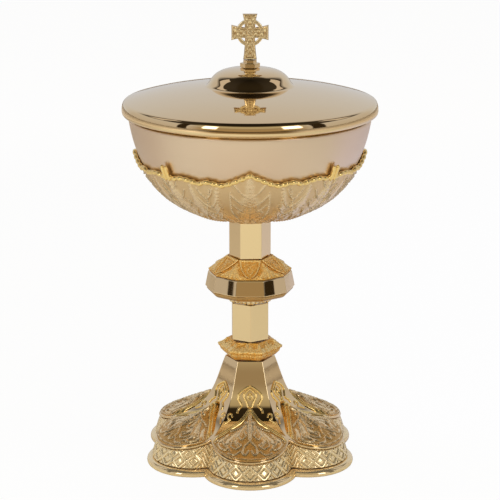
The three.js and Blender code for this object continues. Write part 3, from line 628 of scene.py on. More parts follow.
COLLAR_LEAVES = [
    (leaf, [(0, 0.02), (0, 0.5), (0, 0.98)], 5.2, 0.9, 4),
    (leaf, [(14, 0), (12, 0.4), (9, 0.8)], 4.4, 0.8, 3),
    (leaf, [(30, 0), (30, 0.45), (30, 0.95)], 5.6, 0.9, 4),
    (leaf, [(22, 0), (22, 0.35), (20, 0.7)], 3.6, 0.7, 3),
    (ridge, [(7, 0.05), (6, 0.45), (3, 0.7)], 1, 0.5),
]
collar_rows = np.linspace(0, 1, 26)
collar_out = np.vstack(
    [
        [(8.3, collar_foot)],
        collar_under(np.linspace(0, 1, 12)),
        [(COLLAR_CORNER - 0.2, collar_edge - 0.25), (COLLAR_CORNER, collar_edge + 0.1)],
        [(COLLAR_CORNER - 0.1, collar_edge + 0.6)],
        collar_over(collar_rows),
        [(12.9, collar_head), (8.3, collar_head)],
    ]
)
collar_grid = prism(collar_out, 6, COLLAR_TURN, 1.2, collar_azimuth)
collar_relief = in_rings(mirrored(collar_azimuth - COLLAR_TURN, 6, collar_field), 16, 2)
beads = np.abs(np.sin(np.radians(collar_azimuth - COLLAR_TURN) * 30))
collar_relief[7:13] = 0.5 * beads * np.sin(np.linspace(0.3, np.pi, 6))[:, None]
collar_grid = collar_grid + outward(collar_grid) * (collar_relief - 0.5)[..., None]
add_grid("collar_leaves", collar_grid, chased, "foot_collar", relief=collar_relief)

# %% Neck ring
neck_foot, neck_head = span("knop_neck_ring")
neck_azimuth = prism_azimuths(6, LOWER_TURN, 3.5, corner_steps=5, face_steps=22)
neck_out = bow((12.75, neck_foot), 15, 1.2, (NECK_CORNER, neck_head), 75, 1.6)(np.linspace(0, 1, 12))
neck_section = np.vstack([[(10.6, neck_head), (10.6, neck_foot)], neck_out])
neck_grid = prism(neck_section, 6, LOWER_TURN, 0.7, neck_azimuth)
gadroons = np.abs(np.cos(np.radians(neck_azimuth - LOWER_TURN) * 15))
neck_relief = in_rings(gadroons * np.sin(np.linspace(0.2, np.pi - 0.2, 12))[:, None], 2, 0)
neck_grid = neck_grid + outward(neck_grid) * (0.5 * neck_relief - 0.45)[..., None]
add_grid("neck_gadroons", neck_grid, cast, "knop_neck_ring", relief=neck_relief)

# %% [markdown]
# ## Crown and shields of the knop
#
# The crown blends from the six-sided stem to the ten-sided band, and is covered with cast leaves. Six
# pointed shields lie on it, each with a rope-like edge round an interlaced ground. They are separate
# castings, pinned through the crown.

# %% Crown
crown_foot, crown_head = span("knop_crown")
SHIELD_HALF = 6.4


def crown_place(azimuth, share):
    """Crown's slope: a straight blend from the six-sided head, share 0, to the ten-sided foot,
    share 1."""
    head = prism_radius(STEM_CORNER + 0.75, 6, azimuth, 0.8)
    foot = prism_radius(BAND_HEAD_CORNER - 0.3, 10, azimuth, 0.8)
    return polar(head + (foot - head) * share, azimuth, crown_head + (crown_foot + 0.7 - crown_head) * share)


def shield_half(share):
    """Half width of a shield at a share s of its length: 6.4 times the root of 1 - s^1.6."""
    return SHIELD_HALF * np.sqrt(np.clip(1 - share**1.6, 0, 1))


def crown_field(half):
    """Leaves on half a sector of the crown, between the shields."""
    points = crown_place(half, crown_rows)
    aside = np.hypot(points[..., 0], points[..., 1]) * np.sin(np.radians(half))
    return np.where(aside < shield_half(crown_rows) + 0.3, 0, relief_of(points, crown_place, CROWN_LEAVES))


CROWN_LEAVES = [
    (leaf, [(30, 1), (30, 0.6), (30, 0.1)], 4.6, 0.7, 4),
    (leaf, [(22, 1), (24, 0.7), (28, 0.35)], 3.4, 0.6, 3),
    (leaf, [(13, 1), (17, 0.85), (23, 0.6)], 3, 0.6, 3),
    (leaf, [(5, 1), (8, 0.93), (14, 0.8)], 2.4, 0.5, 2),
    (ridge, [(18, 0.1), (20, 0.3), (26, 0.5)], 0.9, 0.5),
]
CROWN_BORE = 9.3
crown_azimuth = turns(300)
crown_rows = np.linspace(1, 0, 34)[:, None]
crown_rise = mirrored(crown_azimuth, 6, crown_field)
crown_slope = crown_place(crown_azimuth, crown_rows)
crown_low = prism_radius(BAND_HEAD_CORNER - 2.7, 10, crown_azimuth, 0.8)
BORE_RINGS = [(CROWN_BORE, 0), (CROWN_BORE, 2.2), (CROWN_BORE + 1.5, 3.2)]
crown_grid = stacked(
    polar(crown_low, crown_azimuth, crown_foot),
    polar(crown_low + 2.2, crown_azimuth, crown_foot),
    crown_slope + outward(crown_slope) * (crown_rise - 0.35)[..., None],
    *[polar(radius, crown_azimuth, crown_head - down) for radius, down in BORE_RINGS],
)
add_grid("crown_leaves", crown_grid, chased, "knop_crown", relief=in_rings(crown_rise, 2, 3))


# %% Plates on a curved ground
def add_plate(name, ground, sink, lift, finish, node, rise=None):
    """Closed plate on an open grid of ground points: its back lies sink below the ground and its face
    lift above it, and walls join them round the edge. rise is the relief to store on the face."""
    normal = unit(np.cross(np.gradient(ground, axis=1), np.gradient(ground, axis=0)))
    rows, columns = ground.shape[:2]
    count = rows * columns
    top = grid_quads(rows, columns, close_columns=False)
    index = np.arange(count).reshape(rows, columns)
    loop = np.concatenate([index[0], index[1:, -1], index[-1, -2::-1], index[-2:0:-1, 0]])
    ahead = np.roll(loop, -1)
    walls = np.stack([ahead, loop, loop + count, ahead + count], -1)
    sides = [ground + normal * lift[..., None], ground - normal * sink]
    quads = np.concatenate([top, top[:, ::-1] + count, walls])
    relief = None if rise is None else np.stack([rise, 0 * rise])
    add_piece(name, np.stack(sides), quads, finish, node, relief=relief)


# %% Shields
SIXTHS = [(number, 60.0 * (number - 1)) for number in range(1, 7)]
SHIELD_LINES = [
    (ridge, [(-0.5, 0.16), (0.1, 0.4), (0.35, 0.62), (0, 0.86)], 0.8, 0.45),
    (ridge, [(0.5, 0.16), (-0.1, 0.4), (-0.35, 0.62), (0, 0.86)], 0.8, 0.45),
    (ridge, [(-0.55, 0.3), (0, 0.2), (0.55, 0.3)], 0.7, 0.4),
    (ridge, [(-0.4, 0.52), (0, 0.44), (0.4, 0.52)], 0.7, 0.4),
]
ROPE_SIDE = smooth_line([(0.93, s) for s in np.linspace(0.03, 0.97, 16)], 90)
ROPE_HEAD = smooth_line([(0.93 * k, 0.035) for k in np.linspace(-1, 1, 12)], 60)
SHIELD_MARGIN = 0.4 / math.hypot(BAND_HEAD_CORNER - STEM_CORNER, crown_head - crown_foot)


def add_shield(number, middle):
    """Shield with its wide end at the stem; a rope follows its edge."""

    def place(across, share):
        down = SHIELD_MARGIN + (1 - 2 * SHIELD_MARGIN) * share
        radius = np.linalg.norm(crown_place(middle, down)[..., :2], axis=-1)
        aside = np.degrees(np.arctan(across * np.maximum(shield_half(share), 0.5) / radius))
        return crown_place(middle + aside, down)

    ground = place(np.linspace(-1, 1, 41), np.linspace(1, 0, 53)[:, None])
    rise = relief_of(ground, place, SHIELD_LINES)
    for line in (ROPE_SIDE, ROPE_SIDE * [-1, 1], ROPE_HEAD):
        path = place(*line.T)
        height = 0.7 + 0.25 * np.sin(walked_along(path) * 2 * np.pi / 1.3)
        rise = np.maximum(rise, ridge(ground.reshape(-1, 3), path, 1.3, height).reshape(rise.shape))
    lift = 0.05 + 0.75 * rise
    add_plate(f"shield_relief_{number}", ground, 0.15, lift, chased, f"knop_shield_{number}", rise)


for number, middle in SIXTHS:
    add_shield(number, middle)

# %% [markdown]
# ## Calyx
#
# The calyx is the leaf holder under the cup, cast in relief and pierced off along a wavy edge with a
# rope border. Its pattern repeats four times and is mirrored in each quarter. The ground sits a
# little below the CAD surface and the leaves rise a little above it.

# %% Calyx surface
calyx_foot, _ = span("calyx")
CALYX_GROUND = 1.5
LEAF_STEP = 3.75
LEAF_HEIGHTS = [41.3, 39.2, 37.2, 35.5, 34.6, 35.6, 36.0, 34.8, 35.6, 36.4, 36.6, 35.8, 36.6]
leaf_edge = smooth_line([(LEAF_STEP * k, height) for k, height in enumerate(LEAF_HEIGHTS)], 200)
meridian = off_cup(np.linspace(0, 1, 1500), CALYX_GROUND)
meridian_side = right_of(meridian)
walked = walked_along(meridian)


def calyx_place(azimuth, walk, line=meridian):
    """Calyx ground at an azimuth and a distance walked up the cup's outline from the axis, in mm."""
    return polar(np.interp(walk, walked, line[:, 0]), azimuth, np.interp(walk, walked, line[:, 1]))


def calyx_normal(azimuth, walk):
    """Direction square to the calyx there."""
    return calyx_place(azimuth, walk, meridian_side)


def walk_to(height):
    """Walked distance to a height above the calyx's foot."""
    return np.interp(calyx_foot + height, meridian[:, 1], walked)


def edge_walk(azimuth):
    """Walked distance to the calyx's wavy edge."""
    return walk_to(np.interp(folded(azimuth, 4), leaf_edge[:, 0], leaf_edge[:, 1]))


def veins(spine, starts, tip, width, height):
    """Pairs of veins that leave a spine at walked distances and curve up towards a tip (azimuth turn,
    further walk) on each side."""
    turn, further = tip
    strokes = []
    for k, start in enumerate(starts):
        grow = math.sin(math.pi * (k + 1) / (len(starts) + 1))
        for side in (-1, 1):
            bend = side * turn * (0.4 + 0.6 * grow)
            middle = (spine + 0.55 * bend, start + 0.35 * further)
            strokes.append((ridge, [(spine, start), middle, (spine + bend, start + further)], width, height))
    return strokes


# %% Calyx leaves
CALYX_STROKES = [
    (leaf, [(0, 26), (0, 40), (0, 58), (0, 86)], 17, 0.7, 6),
    (leaf, [(4, 26), (14, 40), (19, 56), (16, 80)], 10, 0.6, 5),
    (leaf, [(18, 26), (26, 42), (31, 58), (32, 80)], 10, 0.6, 5),
    (leaf, [(45, 24), (45, 40), (45, 60), (45, 86)], 14, 0.75, 6),
    (ridge, [(0, 30), (0, 50), (0, 84)], 1.4, 1.15),
    (ridge, [(45, 20), (45, 50), (45, 84)], 2.2, 1.4),
    (ridge, [(1, 24), (10, 34), (24, 47), (39, 64)], 1.1, 1.1),
    (ridge, [(1, 28), (7, 40), (11, 54), (10, 72)], 1.1, 1.05),
    (ridge, [(44, 26), (36, 40), (27, 56), (21, 74)], 1.1, 1.1),
    (ridge, [(22, 22), (20, 36), (21, 52), (26, 70)], 0.9, 1),
    (ridge, [(0, 30), (3.5, 34), (3.5, 40), (0, 44)], 1.2, 1.2),
    *veins(0, [44, 52, 60, 68], (10, 10), 0.8, 1),
    *veins(45, [34, 43, 52, 61, 70], (9, 10), 0.8, 1.1),
    *veins(24, [34, 42, 50, 58, 66], (6, 8), 0.8, 0.95),
]
CALYX_ROWS = 104
BACK_ROWS = 7
BACK_WALK = 8
CALYX_SEAT = [7.0, 12.9]
calyx_azimuth = turns(720)
seat_walk = float(np.interp(14.2, meridian[:, 0], walked))


def calyx_walks(azimuth, start, shares):
    """Walked distances of a grid's rows, at shares of the way from a start to the edge."""
    return start + shares[:, None] * (edge_walk(azimuth) - start)


def calyx_field(half):
    """Leaves on half a quarter of the calyx."""
    walks = calyx_walks(half, seat_walk, np.linspace(0, 1, CALYX_ROWS))
    return relief_of(calyx_place(half, walks), calyx_place, CALYX_STROKES)


front_walk = calyx_walks(calyx_azimuth, seat_walk, np.linspace(0, 1, CALYX_ROWS))
calyx_rise = mirrored(calyx_azimuth, 4, calyx_field)
calyx_front = calyx_place(calyx_azimuth, front_walk)
calyx_front = calyx_front + calyx_normal(calyx_azimuth, front_walk) * calyx_rise[..., None]
back_walk = calyx_walks(calyx_azimuth, BACK_WALK, np.linspace(1, 0, BACK_ROWS))
calyx_back = calyx_place(calyx_azimuth, back_walk) - calyx_normal(calyx_azimuth, back_walk) * 0.85
calyx_rings = [polar(radius, calyx_azimuth, calyx_foot) for radius in CALYX_SEAT]
calyx_grid = stacked(*calyx_rings, calyx_front, calyx_back)
add_grid("calyx_leaves", calyx_grid, leafy, "calyx", relief=in_rings(calyx_rise, 2, BACK_ROWS))


# %% Sweeps
def sweep(path, normal, radius, sides=8, closed=False):
    """Round cord along a path: its section turns from the surface's normal to the direction square
    to both normal and path. An open cord ends in points."""
    along = unit(np.roll(path, -1, 0) - np.roll(path, 1, 0) if closed else np.gradient(path, axis=0))
    across = unit(np.cross(along, normal))
    up = np.cross(across, along)
    turn = (np.arange(sides) * 2 * np.pi / sides)[:, None]
    radius = np.broadcast_to(radius, len(path)).copy()
    if not closed:
        radius[0] = radius[-1] = 0
    ring = np.cos(turn) * up[:, None] + np.sin(turn) * across[:, None]
    return path[:, None] + radius[:, None, None] * ring, grid_quads(len(path), sides, close_rows=closed)


def joined(parts):
    """One set of points and quads from several."""
    points = [part_points.reshape(-1, 3) for part_points, _ in parts]
    starts = np.cumsum([0] + [len(part_points) for part_points in points])
    return np.concatenate(points), np.concatenate([quads + start for (_, quads), start in zip(parts, starts)])


# %% Calyx border
KEEL_HEIGHT = 43.4
KEEL_TURNS = (-1.15, 1.15)
border_azimuth = turns(960)
border_walk = edge_walk(border_azimuth)
border_normal = calyx_normal(border_azimuth, border_walk)
border_path = calyx_place(border_azimuth, border_walk) + border_normal * 0.15
bead = 0.9 + 0.65 * np.abs(np.cos(walked_along(border_path) * np.pi / 4.4)) ** 0.8
border_parts = [sweep(border_path, border_normal, bead, sides=10, closed=True)]
keel_walk = np.linspace(edge_walk(45.0) - 3, walk_to(KEEL_HEIGHT), 16)
keel_size = 1.25 * np.sqrt(np.clip(1 - np.linspace(-1, 1, 16) ** 6, 0, 1))
for keel in (45, 135, 225, 315):
    for turn in KEEL_TURNS:
        keel_normal = calyx_normal(keel + turn, keel_walk)
        keel_path = calyx_place(keel + turn, keel_walk) + keel_normal * 0.6
        border_parts.append(sweep(keel_path, keel_normal, keel_size, sides=10))
add_piece("calyx_border", *joined(border_parts), rope)

# %% [markdown]
# ## Foot
#
# The foot is raised from sheet: a six-sided trunk whose ridges sweep out and run down into the valleys
# between six round lobes. The six trunk faces end in pointed arches, and each lobe carries a chased panel.
# The trellis gallery and the plain base moulding follow the same six-lobed outline below it.

# %% Foot surface
TRUNK_CORNER = 15.0
LOBE_CENTRE = 39.0
PLATE_LOBE = 22.9
LOBE_CROWN = 0.8
RIM_FALL = math.tan(math.radians(18.9))
VALLEY_HEIGHT = 21.2
FOOT_SHEET = 1.8
FOOT_FILLET = 0.9
_, trunk_head = span("foot_shell")


def lobed_radius(lobe, azimuth):
    """Distance from the axis to six circles of the lobe's radius, 39 mm out:
    39 cos a + root of (lobe^2 - (39 sin a)^2), with a from the nearest lobe's middle."""
    turn = np.radians(folded(azimuth, 6))
    return LOBE_CENTRE * np.cos(turn) + np.sqrt(lobe**2 - (LOBE_CENTRE * np.sin(turn)) ** 2)


VALLEY = float(lobed_radius(PLATE_LOBE, 30.0))
ridge_t = np.linspace(0, 1, 1500)
ridge_line = bow((TRUNK_CORNER, trunk_head), -68, 17.3, (VALLEY, VALLEY_HEIGHT), -17, 24.8)(ridge_t)
ARCH_STEP = 5
ARCH_RADII = [22.4, 24.5, 27.2, 30.0, 33.2, 37.9, 44.0]
arch_line = smooth_line([(ARCH_STEP * k, radius) for k, radius in enumerate(ARCH_RADII)], 200)


def rim_height(azimuth):
    """Height of the lobes' upper edge: it falls away from the valleys to the lobe fronts."""
    return VALLEY_HEIGHT - (lobed_radius(PLATE_LOBE, azimuth) - VALLEY) * RIM_FALL


def arch_radius(azimuth):
    """Distance from the axis to the pointed arch where trunk and lobe meet."""
    return np.interp(folded(azimuth, 6), arch_line[:, 0], arch_line[:, 1])


def ridge_corner(height):
    """Distance from the axis to the trunk's ridges at a height."""
    return np.interp(-height, -ridge_line[:, 1], ridge_line[:, 0])


def foot_place(azimuth, down):
    """Foot's surface: down runs 0 to 1 over the trunk to the arch and 1 to 2 over the lobe to its edge.
    On the lobe, with out = down - 1, the height is a straight blend plus crown * sin(pi out)."""
    azimuth, down = np.broadcast_arrays(np.asarray(azimuth, float), np.asarray(down, float))
    turn = np.radians(folded(azimuth, 6))
    corner = arch_radius(azimuth) * np.cos(turn) / math.cos(math.pi / 6)
    t = np.interp(corner, ridge_line[:, 0], ridge_t) * np.minimum(down, 1)
    wall = prism_radius(np.interp(t, ridge_t, ridge_line[:, 0]), 6, azimuth, FOOT_FILLET)
    level = np.interp(t, ridge_t, ridge_line[:, 1])
    out = np.clip(down - 1, 0, 1)
    rim = lobed_radius(PLATE_LOBE, azimuth)
    crown = LOBE_CROWN * (rim - wall) / (LOBE_CENTRE + PLATE_LOBE - ARCH_RADII[0])
    height = level + (rim_height(azimuth) - level) * out + crown * np.sin(np.pi * out) * (out > 0)
    return polar(wall + (rim - wall) * out, azimuth, height)


# %% Foot shell
valley_side = np.linspace(27, 30, 10)
foot_side = np.concatenate([np.linspace(-30, -27, 10)[:-1], np.linspace(-27, 27, 55), valley_side[1:-1]])
foot_azimuth = np.concatenate([middle + foot_side for _, middle in SIXTHS])
foot_down = np.concatenate([np.linspace(2, 1, 34), np.linspace(1, 0, 54)[1:]])
foot_skin = foot_place(foot_azimuth, foot_down[:, None])
nose_turn = np.linspace(-math.pi / 2, math.pi / 2, 9)[:, None]
nose_radius = lobed_radius(PLATE_LOBE, foot_azimuth) - 0.9 + 0.9 * np.cos(nose_turn)
nose = polar(nose_radius, foot_azimuth, rim_height(foot_azimuth) - 0.9 + 0.9 * np.sin(nose_turn))
foot_skin[0] = nose[-1]
inner_down = np.concatenate([np.linspace(0.35, 1, 14), np.linspace(1.1, 1.95, 8)])
inner = foot_place(foot_azimuth, inner_down[:, None]) - polar(FOOT_SHEET, foot_azimuth, FOOT_SHEET)
ROD_HOLE = 3.4
under_plate = trunk_head - 3
plate_rim = prism_radius(ridge_corner(under_plate), 6, foot_azimuth, FOOT_FILLET) - FOOT_SHEET - 0.4
foot_grid = stacked(
    nose[:-1],
    foot_skin,
    polar(ROD_HOLE, foot_azimuth, trunk_head),
    polar(ROD_HOLE, foot_azimuth, under_plate),
    polar(plate_rim, foot_azimuth, under_plate),
    inner,
)
add_grid("foot_body", foot_grid, mirror, "foot_shell", crease=40)

# %% Arch mouldings
ARCH_REACH = 27.5
ARCH_WIDTH = 3.4


def beside_arch(azimuth, distance):
    """Distance from the axis to a line that keeps a distance outside the arch: the arch's radius plus
    distance * root of (1 + slope^2)."""
    inner = np.minimum(folded(azimuth, 6), 29)
    slope = (arch_radius(inner + 1) - arch_radius(inner)) / (arch_radius(inner) * math.radians(1))
    return arch_radius(azimuth) + distance * np.hypot(1, slope)


def on_lobe(azimuth, radius):
    """Point of a lobe at a distance from the axis."""
    arch = arch_radius(azimuth)
    return foot_place(azimuth, 1 + (radius - arch) / (lobed_radius(PLATE_LOBE, azimuth) - arch))


def add_arch(number, middle):
    """Pointed arch of two round ribs with a groove between them: at a share s across the moulding
    the lift is the size of sin(2 pi s)."""
    azimuth = middle + np.linspace(-ARCH_REACH, ARCH_REACH, 111)
    share = np.linspace(1, 0, 21)[:, None]
    ground = on_lobe(azimuth, beside_arch(azimuth, 0.1 + ARCH_WIDTH * share))
    taper = np.clip((ARCH_REACH - np.abs(azimuth - middle)) / 2, 0, 1)
    lift = 0.1 + 1.3 * (np.abs(np.sin(2 * np.pi * share)) ** 0.6 * taper)
    add_plate(f"arch_moulding_{number}", ground, 0.3, lift, rope, f"arch_frame_{number}")


for number, middle in SIXTHS:
    add_arch(number, middle)

# %% Lobe panels
PANEL_REACH = 26.5
PANEL_GAP = 3.7
PANEL_LOBE = 22.1
PANEL_STROKES = [
    (leaf, [(0, 0.04), (0, 0.3), (0, 0.62)], 6, 0.6, 4),
    (leaf, [(1, 0.16), (6, 0.26), (10, 0.5), (7, 0.72)], 5.2, 0.6, 5),
    (leaf, [(9, 0.18), (13, 0.34), (16, 0.62), (11, 0.86)], 5.2, 0.6, 5),
    (leaf, [(17, 0.14), (21, 0.36), (21, 0.7), (17, 0.9)], 4.6, 0.6, 4),
    (ridge, [(0, 0.05), (0, 0.3), (0, 0.6)], 1, 1.3),
    (ridge, [(1, 0.16), (5, 0.22), (8, 0.36), (6, 0.5), (3, 0.46), (4, 0.36)], 1.1, 1.3),
    (ridge, [(8, 0.36), (12, 0.48), (13, 0.64), (9, 0.74), (6, 0.66), (8, 0.58)], 1.1, 1.3),
    (ridge, [(9, 0.16), (15, 0.28), (19, 0.46), (18, 0.62), (15, 0.6), (15, 0.5)], 1.1, 1.3),
    (ridge, [(19, 0.46), (22, 0.62), (20, 0.8), (16, 0.84), (14, 0.76)], 1.1, 1.3),
    (ridge, [(0, 0.6), (3.5, 0.7), (4.5, 0.82), (2.5, 0.88), (1, 0.8)], 1.1, 1.3),
    (ridge, [(6, 0.8), (9, 0.9), (13, 0.9)], 1, 1.2),
    (ridge, [(20, 0.2), (24, 0.36), (25, 0.56)], 1, 1.2),
    (ridge, [(0, 0.97), (13, 0.97), (25, 0.96)], 0.9, 0.9),
    (leaf, [(0, 0), (0, 0.13)], 3.4, 1.5, 0),
    (leaf, [(1.5, 0.15), (5.5, 0.09)], 3, 1.5, 0),
    (ridge, [(0, 0.2), (6, 0.17), (12, 0.11), (17, 0.05)], 1.1, 1.4),
]


def add_panel(number, middle):
    """Chased panel of a lobe, between the arch and the lobe's plain border."""

    def place(azimuth, share):
        inner = beside_arch(azimuth, PANEL_GAP)
        return on_lobe(middle + azimuth, inner + (lobed_radius(PANEL_LOBE, azimuth) - inner) * share)

    share = np.linspace(1, 0, 61)[:, None]
    right = relief_of(place(np.linspace(0, PANEL_REACH, 61), share), place, PANEL_STROKES)
    rise = np.concatenate([right[:, :0:-1], right], axis=1)
    ground = place(np.linspace(-PANEL_REACH, PANEL_REACH, 121), share)
    lift = 0.25 + 0.7 * rise
    add_plate(f"lobe_relief_{number}", ground, 0.3, lift, lobe_gold, f"lobe_panel_{number}", rise)


for number, middle in SIXTHS:
    add_panel(number, middle)

# %% Fleurons
FLEURON_LINES = [
    ([(0, 46.4), (-1.1, 45.9), (-4.1, 44.1), (-6.6, 41.9), (-7, 39.6), (-5.8, 37.4), (-4.7, 35.5)], 0.75),
    ([(-4.7, 35.5), (-7, 33.6), (-7.6, 31.7)], 0.75),
    ([(0, 45), (-2.1, 43.4), (-3.6, 41.5), (-2.9, 39.2), (-1.7, 37), (-0.8, 34.3)], 0.7),
    ([(0, 42.6), (-1.2, 40.3), (0, 38.1)], 0.6),
    ([(-10.4, 29.6), (-11.2, 31.3), (-13, 31), (-13, 29.2), (-11.6, 28.8)], 0.6),
    ([(-11.6, 28.8), (-13.6, 27.6), (-15.6, 26.6)], 0.6),
]


def face_place(middle, across, height):
    """Point of a trunk face, across millimetres from its middle line, at a height."""
    flat = ridge_corner(height) * math.cos(math.pi / 6)
    turn = math.radians(middle)
    x = flat * math.sin(turn) + across * math.cos(turn)
    y = -flat * math.cos(turn) + across * math.sin(turn)
    return np.stack([x, y, height], -1)


for number, middle in SIXTHS:
    cords = []
    for line, radius in FLEURON_LINES:
        for side in (-1, 1):
            path = face_place(middle, *(smooth_line(line) * [side, 1]).T)
            cords.append(sweep(path, polar(1.0, np.full(len(path), middle), 0.8), radius))
    add_piece(f"fleuron_{number}", *joined(cords), rope)

# %% [markdown]
# ## Gallery and base
#
# The upright gallery is a cast trellis: every diamond has a raised frame with a smaller diamond inside.
# Its height map needs only the two diagonal coordinates of each point, so the whole band takes a few
# lines.

# %% Lobed rings
GALLERY_LOBE = 25.5


def lobe_azimuths(count):
    """Azimuths at even steps along the arc of each lobe, valleys among them, with the length along the
    arc of each and the arc's half length."""
    valley = lobed_radius(GALLERY_LOBE, 30.0)
    half = math.atan2(valley * 0.5, valley * math.cos(math.pi / 6) - LOBE_CENTRE)
    arc = np.linspace(-half, half, count, endpoint=False)
    turn = np.degrees(np.arctan2(GALLERY_LOBE * np.sin(arc), LOBE_CENTRE + GALLERY_LOBE * np.cos(arc)))
    azimuth = np.concatenate([middle + turn for _, middle in SIXTHS])
    return azimuth, np.tile(arc * GALLERY_LOBE, 6), half * GALLERY_LOBE


# %% Base moulding
_, base_head = span("base_flange")
toe_curve = bow((27.4, 0), 10, 0.6, (28.3, 1.4), 90, 0.7)
swell_curve = bow((28.3, 1.4), 90, 1.5, (25.8, base_head), 172, 1.3)
base_section = np.vstack(
    [
        [(22.7, 3.7), (22.7, 0.2), (22.9, 0)],
        toe_curve(np.linspace(0, 1, 6)),
        swell_curve(np.linspace(0, 1, 12))[1:],
        [(22.9, base_head)],
    ]
)
base_azimuth, _, _ = lobe_azimuths(90)
base_grid = polar(lobed_radius(base_section[:, :1], base_azimuth), base_azimuth, base_section[:, 1:])
add_grid("base_moulding", base_grid, moulding, "base_flange", crease=40)

# %% Trellis gallery
GALLERY_HEAD_LOBE = 22.5
DIAMOND_WIDTH = 8.7
DIAMOND_HEIGHT = 8.0
FIRST_DIAMOND = 4.2
DIAMOND_PLACES = [0, 0.25, 0.29, 0.35, 0.39, 0.5]
DIAMOND_RISE = [0.72, 0.7, 0.12, 0.12, 0.95, 1.0]
gallery_azimuth, gallery_arc, gallery_half = lobe_azimuths(160)
gallery_foot, _ = span("lattice_gallery")
gallery_share = np.linspace(0, 1, 38)[:, None]
gallery_top = rim_height(gallery_azimuth) - FOOT_SHEET - 0.3
gallery_height = (gallery_top - gallery_foot) * gallery_share
across = gallery_arc / DIAMOND_WIDTH
upward = (gallery_height - FIRST_DIAMOND) / DIAMOND_HEIGHT
first, second = (np.abs((diagonal + 0.5) % 1 - 0.5) for diagonal in (across + upward, across - upward))
trellis = np.interp(np.maximum(first, second), DIAMOND_PLACES, DIAMOND_RISE)
to_valley = gallery_half - np.abs(gallery_arc)
pilaster = 0.55 + 0.45 * np.cos((gallery_height - 1.2 * to_valley) * 2 * np.pi / 3.2)
pilaster = pilaster * np.clip(1.3 - to_valley / 5.0, 0.25, 1)
gallery_rise = np.where(to_valley < 5.2, pilaster, trellis)
gallery_rise = gallery_rise * np.clip(np.minimum(gallery_share, 1 - gallery_share) * 20, 0, 1)
gallery_lobe = GALLERY_LOBE + (GALLERY_HEAD_LOBE - GALLERY_LOBE) * gallery_share - 0.9 + 1.0 * gallery_rise
gallery_grid = stacked(
    polar(lobed_radius(gallery_lobe, gallery_azimuth), gallery_azimuth, gallery_foot + gallery_height),
    polar(lobed_radius(GALLERY_HEAD_LOBE - 2, gallery_azimuth), gallery_azimuth, gallery_top),
    polar(lobed_radius(GALLERY_LOBE - 2, gallery_azimuth), gallery_azimuth, gallery_foot),
)
add_grid("trellis_gallery", gallery_grid, cast, "lattice_gallery", relief=in_rings(gallery_rise, 0, 2))

# %% [markdown]
# ## Finial
#
# The cross is a small solid casting: four arms that widen towards their ends, a ring that joins them, and
# relief in the arms. Each arm is a grid of sections across it, from the middle of the ring outwards.

# %% Cross
cross_foot, cross_top = span("finial_cross")
CROSS_MIDDLE = cross_top - 10.7
ARM_EDGE = 2.1
QUARTERS = [(1, 0), (0, 1), (-1, 0), (0, -1)]
ARMS = [(10.7, 4.2), (10.7, 4.3), (CROSS_MIDDLE - cross_foot, 3.9), (10.7, 4.3)]
ARM_WAIST = 2.8
CROSS_RINGS = [(5.9, 7.9, 1.7), (0.05, 4.4, 1.5), (0.05, 1.6, 2.3)]


def arm_grid(length, end):
    """Arm along +Z from the cross's middle. Its half width goes from the waist to end as the square of
    the share of its length, and its face has a raised border round a sunk field of knots."""
    share = np.linspace(0, 1, 40)[:, None]
    half = ARM_WAIST + (end - ARM_WAIST) * share**2
    across = np.linspace(-1, 1, 17)[None, :]
    inner = np.minimum((1 - np.abs(across)) * half, (1 - share) * length)
    border = np.clip(1 - np.abs(inner - 0.55) / 0.55, 0, 1)
    knot = 0.5 + 0.5 * np.cos(2 * np.pi * (share * length / 3.4)) * np.cos(np.pi * across * 1.5)
    lift = ARM_EDGE - 0.5 + 0.5 * border + 0.35 * knot * (inner > 1.2) - 0.4 * np.clip(1 - inner / 0.3, 0, 1)
    x = across * half
    z = share * length + 0 * across
    front, back = np.stack([x, -lift, z], -1), np.stack([x[:, ::-1], lift[:, ::-1], z], -1)
    relief = np.concatenate([border + knot * (inner > 1.2)] * 2, axis=1)
    base, cap = (np.full((1, relief.shape[1], 3), (0.0, 0.0, height)) for height in (0.0, length))
    return np.concatenate([base, np.concatenate([front, back], axis=1), cap]), in_rings(relief, 1, 1)


def upright_ring(inner, outer, depth, steps=96):
    """Flat ring in the cross's plane with rounded edges."""
    section = rounded_section([(inner, -depth), (outer, -depth), (outer, depth), (inner, depth)], 0.35)
    ring = polar(section[:, :1], turns(steps), section[:, 1:])
    return ring[..., [0, 2, 1]] * [1, 1, -1]


cross_parts = []
cross_relief = []
for (cos, sin), (length, end) in zip(QUARTERS, ARMS):
    grid, relief = arm_grid(length, end)
    x, y, z = np.moveaxis(grid, -1, 0)
    cross_parts.append((np.stack([x * cos + z * sin, y, -x * sin + z * cos], -1), grid_quads(*x.shape)))
    cross_relief.append(relief.ravel())
for inner, outer, depth in CROSS_RINGS:
    grid = upright_ring(inner, outer, depth)
    cross_parts.append((grid, grid_quads(*grid.shape[:2], close_rows=True)))
    cross_relief.append(np.full(grid[..., 0].size, 0.8))
cross_points, cross_quads = joined(cross_parts)
cross_points = cross_points + [0, 0, CROSS_MIDDLE]
cross_relief = np.concatenate(cross_relief)
add_piece("cross_celtic", cross_points, cross_quads, cast, "finial_cross", "lid", cross_relief, crease=40)

# %% Finial collar
finial_foot, finial_head = span("finial_collar")
finial_step = finial_foot + 2.6
finial_corners = [
    (1.7, finial_foot), (5.8, finial_foot), (5.8, finial_step),
    (3.9, finial_step), (3.9, finial_head), (1.7, finial_head),
]
finial_grid = prism(rounded_section(finial_corners), 6, 0, 0.3, prism_azimuths(6, 0, 5))
add_grid("finial_neck", finial_grid, mirror, "finial_collar", body="lid", crease=50)

# %% [markdown]
# ## Hidden pieces
#
# The tie rod, the stud and their nuts and washers stay as the CAD model has them. They only need a finish:
# turned steel, and gold for the boss under the cup.

